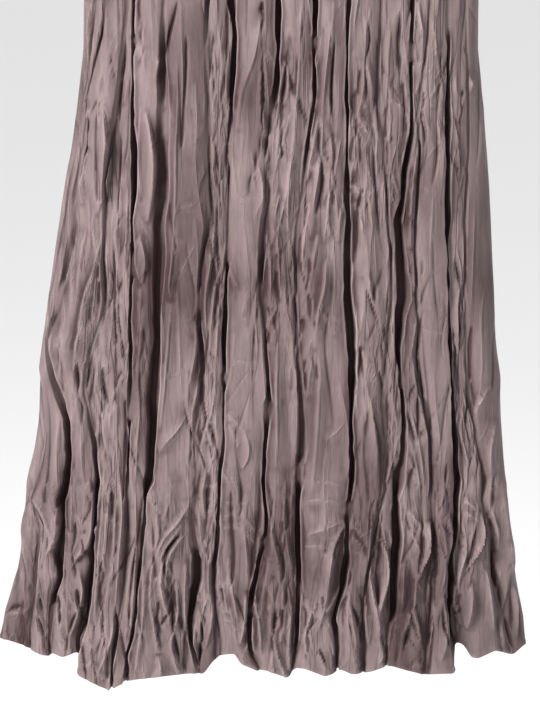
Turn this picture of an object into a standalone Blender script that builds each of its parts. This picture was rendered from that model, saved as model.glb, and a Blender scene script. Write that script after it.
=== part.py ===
"""A crinkle maxi skirt: hollow cloth walls that hang from an elastic waistband, open at waist and hem.

Tables and sizes are in millimetres, in the skirt's own frame: x across it, y towards its back and z up
from the middle of the waistband, so the front faces -y. Objects are made in metres.
"""

from typing import NamedTuple

import bmesh
import bpy
import numpy as np

MM = 0.001

# Driving sizes
CLOTH_WALL = 1.2
BAND_WALL = 3.0
BAND_HEIGHT = 38.0
SEAM_GAP = 0.3
HEM_Z = -938.0

# Fold limits that keep the wall from crossing itself
LEAST_STEP = 2.4
VALLEY_FLOOR_SHARE = 0.6
RIB_OPENING = 5.0
RIB_DEPTH = 4.5
FACE_CROWN = 2.0
SHARPEST_MITRE = 0.5
BASE_SAMPLES = 600

# How much of its full depth a fold has where it is gathered into the waistband, and where it is full
GATHER_SHARE = 0.35
FULL_FOLD_Z = -170.0

# Small sway of the back's folds from side to side
BACK_SWAY = 4.0
BACK_SWAY_LENGTH = 310.0
BACK_SWAY_TURN = 1.7

BAND_COLUMNS_A_SIDE = 60
BAND_GATHERS_A_SIDE = 15
BAND_GATHER_RELIEF = 0.7

FRONT = -1
BACK = 1


class Section(NamedTuple):
    """One level cut through the skirt without its folds: a rounded, flattened oval."""

    z: float
    left: float
    right: float
    half_depth: float
    squareness: float


SECTIONS = (
    Section(z=20.0, left=-164, right=164, half_depth=39, squareness=2.2),
    Section(z=-20.0, left=-166, right=166, half_depth=40, squareness=2.2),
    Section(z=-70.0, left=-172, right=172, half_depth=41, squareness=2.2),
    Section(z=-160.0, left=-180, right=180, half_depth=43, squareness=2.3),
    Section(z=-250.0, left=-188, right=187, half_depth=45, squareness=2.4),
    Section(z=-350.0, left=-199, right=195, half_depth=46, squareness=2.5),
    Section(z=-457.0, left=-217, right=204, half_depth=47, squareness=2.5),
    Section(z=-567.0, left=-236, right=213, half_depth=47, squareness=2.5),
    Section(z=-682.0, left=-249, right=224, half_depth=47, squareness=2.6),
    Section(z=-735.0, left=-258, right=227, half_depth=46, squareness=2.6),
    Section(z=-802.0, left=-270, right=236, half_depth=49, squareness=2.6),
    Section(z=-850.0, left=-277, right=245, half_depth=51, squareness=2.6),
    Section(z=-903.0, left=-291, right=257, half_depth=52, squareness=2.6),
    Section(z=-950.0, left=-303, right=260, half_depth=52, squareness=2.6),
)

RING_HEIGHTS = (-70, -160, -250, -350, -457, -567, -630, -682, -735, -790, -850, -903)


class Valley(NamedTuple):
    """A gap between two pleats: where it runs at each level, its width and its depth at top, middle and hem."""

    x: tuple
    opening: tuple
    depth: tuple


class Face(NamedTuple):
    """The cloth between two valleys: how far it stands out at top, middle and hem, its fine ribs,
    and how far its hem hangs below the mean hem."""

    stand: tuple
    ribs: int
    drop: float


DEPTH_LEVELS = (-250.0, -567.0, -903.0)

FRONT_LEVELS = (-250.0, -350.0, -457.0, -567.0, -682.0, -802.0, -903.0)
FRONT_VALLEYS = (
    Valley(x=(-175, -190, -208, -231, -236, -245, -267), opening=(4, 4, 6), depth=(5, 5, 8)),
    Valley(x=(-163, -184, -203, -224, -213, -224, -243), opening=(6, 9, 8), depth=(12, 14, 9)),
    Valley(x=(-149, -156, -172, -168, -176, -192, -209), opening=(4, 8, 12), depth=(8, 12, 6)),
    Valley(x=(-137, -141, -143, -148, -154, -158, -178), opening=(7, 7, 5), depth=(15, 14, 8)),
    Valley(x=(-109, -113, -117, -123, -131, -143, -156), opening=(12, 15, 6), depth=(14, 16, 13)),
    Valley(x=(-69, -70, -71, -80, -84, -91, -93), opening=(6, 7, 10), depth=(11, 12, 16)),
    Valley(x=(-46, -48, -50, -57, -59, -67, -62), opening=(10, 5, 14), depth=(15, 12, 16)),
    Valley(x=(-5, -9, -18, -16, -15, -20, -34), opening=(6, 12, 8), depth=(12, 14, 16)),
    Valley(x=(30, 27, 17, 16, 21, 17, 16), opening=(8, 6, 10), depth=(13, 12, 17)),
    Valley(x=(61, 62, 62, 67, 69, 63, 56), opening=(7, 11, 9), depth=(13, 16, 17)),
    Valley(x=(90, 92, 99, 97, 104, 91, 83), opening=(6, 6, 5), depth=(11, 9, 8)),
    Valley(x=(118, 118, 113, 115, 122, 116, 109), opening=(9, 13, 9), depth=(14, 16, 17)),
    Valley(x=(136, 132, 129, 135, 146, 153, 149), opening=(4, 5, 12), depth=(6, 7, 12)),
    Valley(x=(152, 155, 157, 163, 173, 174, 172), opening=(9, 6, 9), depth=(16, 15, 6)),
    Valley(x=(169, 174, 174, 181, 191, 213, 237), opening=(4, 5, 6), depth=(6, 8, 9)),
)
FRONT_FACES = (
    Face(stand=(0, 0, -4), ribs=0, drop=6),
    Face(stand=(2, 2, -10), ribs=0, drop=4),
    Face(stand=(4, 2, -8), ribs=1, drop=0),
    Face(stand=(4, 5, 20), ribs=0, drop=5),
    Face(stand=(5, 5, 21), ribs=1, drop=7),
    Face(stand=(7, 7, 15), ribs=1, drop=1),
    Face(stand=(5, 5, 12), ribs=1, drop=-1),
    Face(stand=(7, 8, 9), ribs=1, drop=-8),
    Face(stand=(5, 6, 16), ribs=2, drop=1),
    Face(stand=(6, 8, 15), ribs=1, drop=2),
    Face(stand=(5, 6, 14), ribs=1, drop=1),
    Face(stand=(5, 3, 10), ribs=1, drop=-3),
    Face(stand=(3, 4, 11), ribs=0, drop=-1),
    Face(stand=(5, 7, 19), ribs=1, drop=2),
    Face(stand=(3, 3, -6), ribs=0, drop=-4),
    Face(stand=(0, 2, -4), ribs=0, drop=2),
)

BACK_LEVELS = (-250.0, -567.0, -903.0)
BACK_VALLEYS = (
    Valley(x=(-172, -212, -258), opening=(4, 6, 7), depth=(6, 9, 9)),
    Valley(x=(-150, -186, -221), opening=(7, 9, 9), depth=(12, 13, 12)),
    Valley(x=(-128, -152, -190), opening=(5, 7, 10), depth=(10, 12, 15)),
    Valley(x=(-98, -124, -152), opening=(10, 8, 8), depth=(14, 13, 16)),
    Valley(x=(-73, -88, -112), opening=(6, 12, 10), depth=(12, 15, 14)),
    Valley(x=(-43, -60, -84), opening=(8, 6, 9), depth=(13, 11, 16)),
    Valley(x=(-20, -24, -41), opening=(6, 9, 12), depth=(11, 14, 17)),
    Valley(x=(14, 3, -6), opening=(9, 7, 8), depth=(14, 12, 14)),
    Valley(x=(38, 37, 30), opening=(5, 10, 10), depth=(11, 15, 16)),
    Valley(x=(66, 66, 57), opening=(9, 8, 7), depth=(14, 13, 13)),
    Valley(x=(92, 104, 97), opening=(6, 9, 12), depth=(12, 14, 17)),
    Valley(x=(120, 132, 130), opening=(8, 6, 9), depth=(13, 11, 15)),
    Valley(x=(142, 158, 172), opening=(6, 8, 10), depth=(11, 13, 14)),
    Valley(x=(167, 185, 212), opening=(4, 6, 8), depth=(7, 9, 10)),
)
BACK_FACES = (
    Face(stand=(0, 0, -4), ribs=0, drop=4),
    Face(stand=(3, 4, -2), ribs=1, drop=0),
    Face(stand=(4, 5, 6), ribs=0, drop=2),
    Face(stand=(6, 6, 14), ribs=1, drop=4),
    Face(stand=(5, 7, 15), ribs=1, drop=-2),
    Face(stand=(6, 5, 12), ribs=1, drop=1),
    Face(stand=(4, 7, 15), ribs=1, drop=3),
    Face(stand=(7, 6, 13), ribs=1, drop=-1),
    Face(stand=(5, 8, 16), ribs=1, drop=2),
    Face(stand=(6, 5, 12), ribs=1, drop=0),
    Face(stand=(5, 7, 15), ribs=1, drop=3),
    Face(stand=(6, 6, 13), ribs=1, drop=-2),
    Face(stand=(4, 4, 8), ribs=0, drop=1),
    Face(stand=(3, 3, -2), ribs=1, drop=3),
    Face(stand=(0, 1, -4), ribs=0, drop=1),
)


class Panel(NamedTuple):
    """A front or a back: which way it faces, and its tables."""

    side: int
    levels: tuple
    valleys: tuple
    faces: tuple
    sway: float


FRONT_PANEL = Panel(FRONT, FRONT_LEVELS, FRONT_VALLEYS, FRONT_FACES, 0.0)
BACK_PANEL = Panel(BACK, BACK_LEVELS, BACK_VALLEYS, BACK_FACES, BACK_SWAY)


def smooth_value(levels, values, z):
    """The value at height z on a smooth curve through a table whose levels run downwards."""
    heights = -np.asarray(levels, float)
    values = np.asarray(values, float)
    slopes = np.gradient(values, heights)
    here = np.clip(-z, heights[0], heights[-1])
    row = int(np.clip(np.searchsorted(heights, here) - 1, 0, len(heights) - 2))
    step = heights[row + 1] - heights[row]
    t = (here - heights[row]) / step
    rise = t * t * (3 - 2 * t)
    start_pull = t * (1 - t) ** 2 * step * slopes[row]
    end_pull = -(t * t) * (1 - t) * step * slopes[row + 1]
    return values[row] * (1 - rise) + values[row + 1] * rise + start_pull + end_pull


def section_at(z):
    columns = list(zip(*SECTIONS))
    return Section(z, *(smooth_value(columns[0], column, z) for column in columns[1:]))


class BaseLine:
    """The plain oval at one height, from the left side seam to the right one, read by distance along it."""

    def __init__(self, side, z):
        section = section_at(z)
        turn = np.linspace(0.0, np.pi, BASE_SAMPLES)
        bend = 2.0 / section.squareness
        half_width = (section.right - section.left) / 2
        middle = (section.right + section.left) / 2
        cosine = np.cos(turn)
        x = middle - half_width * np.sign(cosine) * np.abs(cosine) ** bend
        y = side * (SEAM_GAP / 2 + section.half_depth * np.sin(turn) ** bend)
        self.x = x
        self.y = y
        self.along = np.concatenate([[0.0], np.cumsum(np.hypot(np.diff(x), np.diff(y)))])
        tangent = np.stack([np.gradient(x), np.gradient(y)], axis=1)
        tangent /= np.linalg.norm(tangent, axis=1, keepdims=True)
        self.normal = side * np.stack([-tangent[:, 1], tangent[:, 0]], axis=1)
        self.length = self.along[-1]

    def distance_of(self, x):
        return float(np.interp(x, self.x, self.along))

    def points(self, along, stand):
        """Points at these distances along the line, moved out by these amounts."""
        x = np.interp(along, self.along, self.x)
        y = np.interp(along, self.along, self.y)
        normal_x = np.interp(along, self.along, self.normal[:, 0])
        normal_y = np.interp(along, self.along, self.normal[:, 1])
        size = np.hypot(normal_x, normal_y)
        return np.stack([x + stand * normal_x / size, y + stand * normal_y / size], axis=1)


def valley_x(panel, number, z):
    """A valley's x at height z. Above its first level it keeps its share of the narrowing width."""
    valley = panel.valleys[number]
    top = panel.levels[0]
    if z > top:
        here = section_at(z)
        there = section_at(top)
        share = (valley.x[0] - there.left) / (there.right - there.left)
        return here.left + share * (here.right - here.left)
    sway = panel.sway * np.sin(2 * np.pi * z / BACK_SWAY_LENGTH + BACK_SWAY_TURN * number)
    return smooth_value(panel.levels, valley.x, z) + sway


def gather_share(z):
    """The share of its depth that a fold has at height z: less where it is gathered into the waistband."""
    return float(np.interp(-z, [BAND_HEIGHT / 2, -FULL_FOLD_Z], [GATHER_SHARE, 1.0]))


def face_columns(face, start, end, stand, share):
    """Columns (distance, stand) across one face, without its two edges."""
    width = end - start
    if not face.ribs:
        return [(start + width * part, stand + FACE_CROWN * share) for part in (0.33, 0.67)]
    columns = []
    for rib in range(face.ribs):
        middle = start + width * (rib + 1) / (face.ribs + 1)
        half = min(RIB_OPENING, width / (face.ribs + 2)) / 2
        depth = min(RIB_DEPTH, width / 4) * share
        crown = FACE_CROWN / 2 * share
        columns += [
            (middle - half, stand + crown),
            (middle, stand + crown - depth),
            (middle + half, stand + crown),
        ]
    return columns


def spread(along, length):
    """Keeps every column at least one least step from the next, inside the panel."""
    along = np.array(along)
    for column in range(1, len(along)):
        along[column] = max(along[column], along[column - 1] + LEAST_STEP)
    along[-1] = length
    for column in range(len(along) - 2, -1, -1):
        along[column] = min(along[column], along[column + 1] - LEAST_STEP)
    along[0] = 0.0
    return along


def fold_line(panel, z):
    """The middle of the cloth at height z, as (x, y) points from seam to seam, and each point's hem drop."""
    base = BaseLine(panel.side, z)
    share = gather_share(z)
    stands = [smooth_value(DEPTH_LEVELS, face.stand, z) * share for face in panel.faces]
    columns = [(0.0, 0.0)]
    drops = [panel.faces[0].drop]
    start = 0.0
    for number, face in enumerate(panel.faces):
        last = number == len(panel.valleys)
        if last:
            end = base.length
        else:
            valley = panel.valleys[number]
            middle = base.distance_of(valley_x(panel, number, z))
            half = smooth_value(DEPTH_LEVELS, valley.opening, z) / 2
            depth = smooth_value(DEPTH_LEVELS, valley.depth, z) * share
            end = middle - half
        within = face_columns(face, start, end, stands[number], share)
        columns += within
        drops += [face.drop] * len(within)
        if last:
            break
        floor = min(stands[number], stands[number + 1]) - depth
        columns += [
            (end, stands[number]),
            (middle - half * VALLEY_FLOOR_SHARE, floor),
            (middle + half * VALLEY_FLOOR_SHARE, floor),
            (middle + half, stands[number + 1]),
        ]
        next_drop = panel.faces[number + 1].drop
        between = (face.drop + next_drop) / 2
        drops += [face.drop, between, between, next_drop]
        start = middle + half
    columns.append((base.length, 0.0))
    drops.append(panel.faces[-1].drop)
    along, stand = zip(*columns)
    return base.points(spread(along, base.length), np.array(stand)), np.array(drops)


def wall_lines(middle, side, wall):
    """The outer and inner lines of a wall of this thickness round its middle line."""
    step = np.diff(middle, axis=0)
    step /= np.linalg.norm(step, axis=1, keepdims=True)
    normals = side * np.stack([-step[:, 1], step[:, 0]], axis=1)
    before = np.vstack([normals[:1], normals])
    after = np.vstack([normals, normals[-1:]])
    mitre = before + after
    mitre /= np.linalg.norm(mitre, axis=1, keepdims=True)
    cosine = np.maximum((mitre * after).sum(axis=1, keepdims=True), SHARPEST_MITRE)
    reach = mitre / cosine * wall / 2
    ends = [0, -1]
    reach[ends] = [[np.sign(middle[end, 0]) * wall / 2, 0.0] for end in ends]
    return middle + reach, middle - reach


def new_material(name, colour, roughness):
    material = bpy.data.materials.new(name)
    material.use_nodes = True
    shader = material.node_tree.nodes["Principled BSDF"]
    shader.inputs["Base Color"].default_value = (*colour, 1.0)
    shader.inputs["Roughness"].default_value = roughness
    shader.inputs["Metallic"].default_value = 0.0
    return material


def new_object(name, vertices, faces, material, parent):
    """One closed mesh object, from points in mm."""
    shape = bmesh.new()
    points = [shape.verts.new(tuple(point * MM)) for point in vertices]
    for face in faces:
        shape.faces.new([points[index] for index in face])
    bmesh.ops.recalc_face_normals(shape, faces=shape.faces)
    mesh = bpy.data.meshes.new(name)
    shape.to_mesh(mesh)
    shape.free()
    mesh.shade_smooth()
    mesh.set_sharp_from_angle(angle=np.radians(40))
    mesh.materials.append(material)
    piece = bpy.data.objects.new(name, mesh)
    piece.parent = parent
    bpy.context.scene.collection.objects.link(piece)
    return piece


def split_quad(points, a, b, c, d):
    """Two triangles for the quad a b c d, cut along its shorter diagonal."""
    if np.linalg.norm(points[a] - points[c]) <= np.linalg.norm(points[b] - points[d]):
        return [(a, b, c), (a, c, d)]
    return [(a, b, d), (b, c, d)]


def build_cloth(name, panel, material, parent):
    """A front or back panel: a closed cloth wall lofted through its rings."""
    top = -BAND_HEIGHT / 2 - SEAM_GAP
    heights = (top, *RING_HEIGHTS, HEM_Z)
    outer = []
    inner = []
    centre = []
    for z in heights:
        middle, drops = fold_line(panel, z)
        levels = z - (drops if z == HEM_Z else 0 * drops)
        for line, store in zip((*wall_lines(middle, panel.side, CLOTH_WALL), middle), (outer, inner, centre)):
            store.append(np.column_stack([line, levels]))
    count = len(outer[0])
    rings = len(heights)
    layer = rings * count
    points = np.vstack([*outer, *inner])
    middles = np.vstack(centre)
    faces = []
    for ring in range(rings - 1):
        for column in range(count - 1):
            corner = ring * count + column
            quad = (corner, corner + 1, corner + count + 1, corner + count)
            for triangle in split_quad(middles, *quad):
                faces.append(triangle)
                faces.append(tuple(index + layer for index in reversed(triangle)))
    for column in range(count - 1):
        foot = layer - count + column
        faces.append((column, column + layer, column + 1 + layer, column + 1))
        faces.append((foot, foot + 1, foot + 1 + layer, foot + layer))
    for ring in range(rings - 1):
        left = ring * count
        right = left + count - 1
        faces.append((left, left + count, left + count + layer, left + layer))
        faces.append((right, right + layer, right + count + layer, right + count))
    return new_object(name, points, faces, material, parent)


def band_loop(z, stand):
    """A closed line round the waistband, moved out by stand, with its gathers on the outside."""
    loop = []
    relief = BAND_GATHER_RELIEF if stand > 0 else 0.0
    for side in (FRONT, BACK):
        base = BaseLine(side, z)
        share = np.arange(BAND_COLUMNS_A_SIDE) / BAND_COLUMNS_A_SIDE
        if side == BACK:
            share = 1 - share
        gather = relief * np.cos(2 * np.pi * BAND_GATHERS_A_SIDE * share)
        loop.append(base.points(share * base.length, stand + gather))
    line = np.vstack(loop)
    return np.column_stack([line, np.full(len(line), z)])


def build_waistband(name, material, parent):
    """The elastic waistband: a soft rounded band, gathered on its outside."""
    half_height = BAND_HEIGHT / 2
    half_wall = BAND_WALL / 2
    easing = 1.0
    profile = (
        (half_height - easing, half_wall),
        (0.0, half_wall),
        (-half_height + easing, half_wall),
        (-half_height, half_wall - easing),
        (-half_height, -half_wall + easing),
        (0.0, -half_wall),
        (half_height, -half_wall + easing),
        (half_height, half_wall - easing),
    )
    loops = [band_loop(z, stand) for z, stand in profile]
    count = len(loops[0])
    faces = []
    for row in range(len(profile)):
        following = (row + 1) % len(profile)
        for column in range(count):
            beside = (column + 1) % count
            faces.append(
                (
                    row * count + column,
                    row * count + beside,
                    following * count + beside,
                    following * count + column,
                )
            )
    return new_object(name, np.vstack(loops), faces, material, parent)


def clear_scene():
    for thing in list(bpy.data.objects):
        bpy.data.objects.remove(thing)


def build_skirt():
    clear_scene()
    skirt = bpy.data.objects.new("crinkle_skirt", None)
    bpy.context.scene.collection.objects.link(skirt)
    taupe = (0.34, 0.27, 0.26)
    front_cloth = new_material("front_cloth", taupe, 0.45)
    back_cloth = new_material("back_cloth", taupe, 0.45)
    band_cloth = new_material("band_cloth", (0.30, 0.24, 0.23), 0.5)
    build_cloth("front_panel", FRONT_PANEL, front_cloth, skirt)
    build_cloth("back_panel", BACK_PANEL, back_cloth, skirt)
    build_waistband("waistband", band_cloth, skirt)


build_skirt()
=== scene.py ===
"""The looks of a crinkle maxi skirt: crushed satin pleats that hang from a gathered elastic waistband.

Sizes are in millimetres in the skirt's own frame: x across it, y towards its back and z up from the middle
of the waistband, so the front faces -y. Objects are made in metres. Routes of folds on the front are read off
the view: "across" and "down" are places in a frame that is 540 wide and 706 high.
"""

from __future__ import annotations

import logging
import math
from dataclasses import dataclass, field
from enum import Enum
from functools import cache
from typing import NamedTuple

import bpy
import numpy as np
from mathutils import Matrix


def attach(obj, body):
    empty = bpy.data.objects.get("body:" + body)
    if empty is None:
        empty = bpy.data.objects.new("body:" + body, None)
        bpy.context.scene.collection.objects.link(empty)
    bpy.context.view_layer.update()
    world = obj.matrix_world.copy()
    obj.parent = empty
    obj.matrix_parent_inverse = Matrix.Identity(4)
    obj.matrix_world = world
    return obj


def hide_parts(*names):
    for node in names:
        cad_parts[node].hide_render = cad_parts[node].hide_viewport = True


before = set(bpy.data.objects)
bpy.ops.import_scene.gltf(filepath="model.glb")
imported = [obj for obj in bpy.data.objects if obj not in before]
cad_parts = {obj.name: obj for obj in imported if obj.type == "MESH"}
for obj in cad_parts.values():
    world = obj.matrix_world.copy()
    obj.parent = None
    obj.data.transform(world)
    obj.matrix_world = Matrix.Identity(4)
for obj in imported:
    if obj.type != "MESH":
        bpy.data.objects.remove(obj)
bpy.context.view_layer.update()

MM = 0.001
LOG = logging.getLogger("skirt")

Points = np.ndarray
Table = tuple[tuple[float, ...], ...]
Route = tuple[tuple[float, float], ...]
Face = tuple[int, ...]
Triple = tuple[float, float, float]
Tree = bpy.types.ShaderNodeTree
Socket = bpy.types.NodeSocket


class Side(Enum):
    """Which way a panel of the skirt faces along y."""

    FRONT = -1
    BACK = 1


# ----- Small mathematics that the pieces share -----


def ease(value: Points, start: float, end: float) -> Points:
    """A smooth rise from 0 at start to 1 at end.

    Args:
        value: where to read it.
        start: where it is 0.
        end: where it is 1; it may lie below start.

    Returns:
        The share at each value.
    """
    share = np.clip((value - start) / (end - start), 0.0, 1.0)
    return share * share * (3.0 - 2.0 * share)


def bell(distance: Points, reach: float) -> Points:
    """A soft bump that is 1 at no distance and fades out past its reach."""
    return np.exp(-((distance / reach) ** 2))


def read_table(rows: Points, at: Points) -> Points:
    """Reads a table whose first column holds heights that run downwards.

    Args:
        rows: the table.
        at: heights in mm.

    Returns:
        A row for each other column, with its values at the heights, straight between the table's rows.
    """
    return np.stack([np.interp(-at, -rows[:, 0], column) for column in rows[:, 1:].T])


def smooth_route(route: Route, parts: int = 4) -> tuple[Points, Points]:
    """A route drawn as a smooth curve through its points.

    Args:
        route: its points.
        parts: how many pieces each stretch is cut into.

    Returns:
        The first and second coordinates of the curve's points.
    """
    knots = np.array(route, float)
    if len(knots) < 3:
        return knots[:, 0], knots[:, 1]
    knots = np.vstack([2 * knots[0] - knots[1], knots, 2 * knots[-1] - knots[-2]])
    share = (np.arange(parts) / parts)[:, None]
    curve = []
    for before, start, end, after in zip(knots, knots[1:], knots[2:], knots[3:]):
        bend = 2 * before - 5 * start + 4 * end - after
        twist = 3 * (start - end) + after - before
        curve.append(start + 0.5 * share * (end - before + share * (bend + share * twist)))
    points = np.vstack([*curve, knots[-2:-1]])
    return points[:, 0], points[:, 1]


def bent_line(x: float, z: float, lean: float, length: float,
              chance: np.random.Generator) -> tuple[Points, Points]:
    """A short S-shaped line.

    Args:
        x: where it starts, across in mm.
        z: where it starts, in height in mm.
        lean: its angle to the upright in radians.
        length: how far it runs in mm, down where it is under zero.
        chance: the chance that bends it.

    Returns:
        Its points' x and z.
    """
    share = np.linspace(0.0, 1.0, 9)
    bow = chance.uniform(-4.0, 4.0)
    sway = chance.uniform(-2.2, 2.2)
    off = min(1.0, abs(length) / 40.0) * (bow * np.sin(np.pi * share) + sway * np.sin(2 * np.pi * share))
    along = length * share
    sine, cosine = math.sin(lean), math.cos(lean)
    return x + along * sine + off * cosine, z + along * cosine - off * sine


class Wander:
    """Seeded kinked lines: how far an edge strays along its length."""

    def __init__(self, seed: int) -> None:
        """Starts the line's own chance."""
        self.chance = np.random.default_rng(seed)

    def along(self, at: Points, knot: float, reach: float) -> Points:
        """One kinked line.

        Args:
            at: positions in mm.
            knot: mean distance between its kinks in mm.
            reach: how far it strays in mm.

        Returns:
            The straying at each position.
        """
        span = float(at.max() - at.min())
        count = max(3, int(span / knot))
        shift = self.chance.uniform(-0.35, 0.35, count) * span / count
        knots = np.sort(np.linspace(at.min(), at.max(), count) + shift)
        return np.interp(at, knots, self.chance.uniform(-reach, reach, count))

    def columns(self, at: Points, knot: float, reach: float, count: int) -> Points:
        """Several kinked lines side by side, a column for each."""
        return np.stack([self.along(at, knot, reach) for _ in range(count)], axis=1)


class Crumple:
    """Crumpled cloth as flat facets that meet in ridges and troughs, in cells of a given width and height."""

    SIZE = 64

    def __init__(self, seed: int, wide: float, tall: float, warp: float = 0.45) -> None:
        """Chooses the facets' corners.

        Args:
            seed: the chance's seed.
            wide: mean width of a facet in mm.
            tall: mean height of a facet in mm.
            warp: how far facets are pushed askew, in cells.
        """
        chance = np.random.default_rng(seed)
        self.wide = wide
        self.tall = tall
        self.warp = warp
        self.corners = chance.uniform(-1.0, 1.0, (self.SIZE, self.SIZE))
        self.push = chance.uniform(-1.0, 1.0, (2, self.SIZE, self.SIZE))

    def cell(self, grid: Points, u: Points, v: Points) -> tuple[Points, ...]:
        """Reads the cell round each place.

        Args:
            grid: the values at the cells' corners.
            u: places across in cells.
            v: places up in cells.

        Returns:
            The values at its low left, low right, high left and high right corners, and how far across and up
            the place lies.
        """
        column = np.floor(u).astype(int)
        row = np.floor(v).astype(int)
        left, low = column % self.SIZE, row % self.SIZE
        right, high = (left + 1) % self.SIZE, (low + 1) % self.SIZE
        return grid[low, left], grid[low, right], grid[high, left], grid[high, right], u - column, v - row

    def soft(self, grid: Points, u: Points, v: Points) -> Points:
        """One grid's value at places in cells, with no facets."""
        near, beside, above, far, across, up = self.cell(grid, u, v)
        across, up = ease(across, 0.0, 1.0), ease(up, 0.0, 1.0)
        return (near * (1 - across) + beside * across) * (1 - up) + (above * (1 - across) + far * across) * up

    def ridge(self, x: Points, z: Points) -> Points:
        """Sharp wavy crests with soft hollows between them, from -1 to 1, at places in mm."""
        u, v = x / self.wide, z / self.tall
        pushed = u + self.warp * self.soft(self.push[0], u * 0.6 + 11.3, v * 1.7 + 5.1)
        away = np.sqrt(self.soft(self.corners, pushed, v) ** 2 + 0.004)
        return 1.0 - 2.6 * away + 0.9 * away * away

    def height(self, x: Points, z: Points) -> Points:
        """How high the facets stand, from -1 to 1.

        Args:
            x: positions across in mm.
            z: heights in mm.

        Returns:
            Their height at each point.
        """
        u, v = x / self.wide, z / self.tall
        pushed_u = u + self.warp * self.soft(self.push[0], u * 0.6 + 11.3, v * 0.6 + 5.1)
        pushed_v = v + self.warp * self.soft(self.push[1], u * 0.5 + 3.7, v * 0.7 + 17.9)
        near, beside, above, far, across, up = self.cell(self.corners, pushed_u, pushed_v)
        first = near + across * (beside - near) + up * (above - near)
        second = far + (1 - across) * (above - far) + (1 - up) * (beside - far)
        return np.where(across + up < 1, first, second)


# ----- The view, and the plain hollow tube under the folds -----


@dataclass(frozen=True)
class ViewPoint:
    """The camera that the front's routes are read through."""

    place: Triple = (-12.0, -1640.4, -91.1)
    look_down: float = 17.5
    lens: float = 86.1
    sensor: float = 36.0
    frame_width: float = 540.0
    frame_height: float = 706.0

    def axes(self) -> tuple[tuple[float, float], tuple[float, float]]:
        """The view's up and forward directions, each as y and z."""
        tilt = math.radians(self.look_down)
        return (math.sin(tilt), math.cos(tilt)), (math.cos(tilt), -math.sin(tilt))

    def meet(self, across: Points, down: Points, depth: Points) -> tuple[Points, Points]:
        """Where the view's rays meet upright planes.

        Args:
            across: positions across the frame.
            down: positions down the frame.
            depth: each plane's y in mm.

        Returns:
            x and z in mm.
        """
        up, forward = self.axes()
        unit = self.sensor / self.frame_height
        side = (across - self.frame_width / 2) * unit
        rise = (self.frame_height / 2 - down) * unit
        reach = (depth - self.place[1]) / (rise * up[0] + self.lens * forward[0])
        return self.place[0] + reach * side, self.place[2] + reach * (rise * up[1] + self.lens * forward[1])

    def across_of(self, x: Points, y: Points, z: Points) -> Points:
        """How far across the frame a point shows."""
        _, forward = self.axes()
        far = (y - self.place[1]) * forward[0] + (z - self.place[2]) * forward[1]
        return self.frame_width / 2 + (x - self.place[0]) / far * self.lens * self.frame_height / self.sensor

    def make_camera(self) -> None:
        """Sets the scene's camera."""
        lens = bpy.data.cameras.new("camera")
        lens.sensor_width = self.sensor
        lens.lens = self.lens
        lens.clip_start = 0.05
        lens.clip_end = 120.0
        camera = bpy.data.objects.new("camera", lens)
        camera.location = [value * MM for value in self.place]
        camera.rotation_euler = (math.radians(90.0 - self.look_down), 0.0, 0.0)
        bpy.context.scene.collection.objects.link(camera)
        bpy.context.scene.camera = camera


class Ring(NamedTuple):
    """The skirt's plain tube at one height."""

    z: float
    left: float
    right: float
    half_depth: float
    squareness: float


@dataclass(frozen=True)
class Tube:
    """The hollow, flattened tube that the folds stand on."""

    seam_gap: float = 0.3
    samples: int = 500
    rings: tuple[Ring, ...] = tuple(Ring(*row) for row in (
        (20, -164, 164, 39, 2.2), (-20, -166, 166, 40, 2.2), (-70, -172, 172, 41, 2.2),
        (-160, -180, 180, 43, 2.3), (-250, -188, 186, 45, 2.4), (-300, -191, 187, 45, 2.45),
        (-350, -198, 193, 46, 2.5), (-400, -206, 199, 46, 2.5), (-457, -217, 204, 47, 2.5),
        (-510, -227, 208, 47, 2.5), (-567, -236, 213, 47, 2.5), (-625, -243, 219, 47, 2.6),
        (-682, -248, 223, 47, 2.6), (-735, -257, 227, 46, 2.6), (-802, -270, 236, 49, 2.6),
        (-850, -277, 245, 51, 2.6), (-903, -291, 256, 52, 2.6), (-950, -303, 261, 52, 2.6),
    ))

    def ring_at(self, z: Points) -> Ring:
        """The ring at one height or at many, straight between the table's rings."""
        return Ring(z, *read_table(np.array(self.rings, float), z))

    def front_y(self, x: Points, z: Points) -> Points:
        """The front's y at points given by x and z."""
        ring = self.ring_at(z)
        share = np.clip(np.abs(2 * (x - ring.left) / (ring.right - ring.left) - 1), 0.0, 1.0)
        return -ring.half_depth * (1 - share**ring.squareness) ** (1 / ring.squareness)


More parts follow.
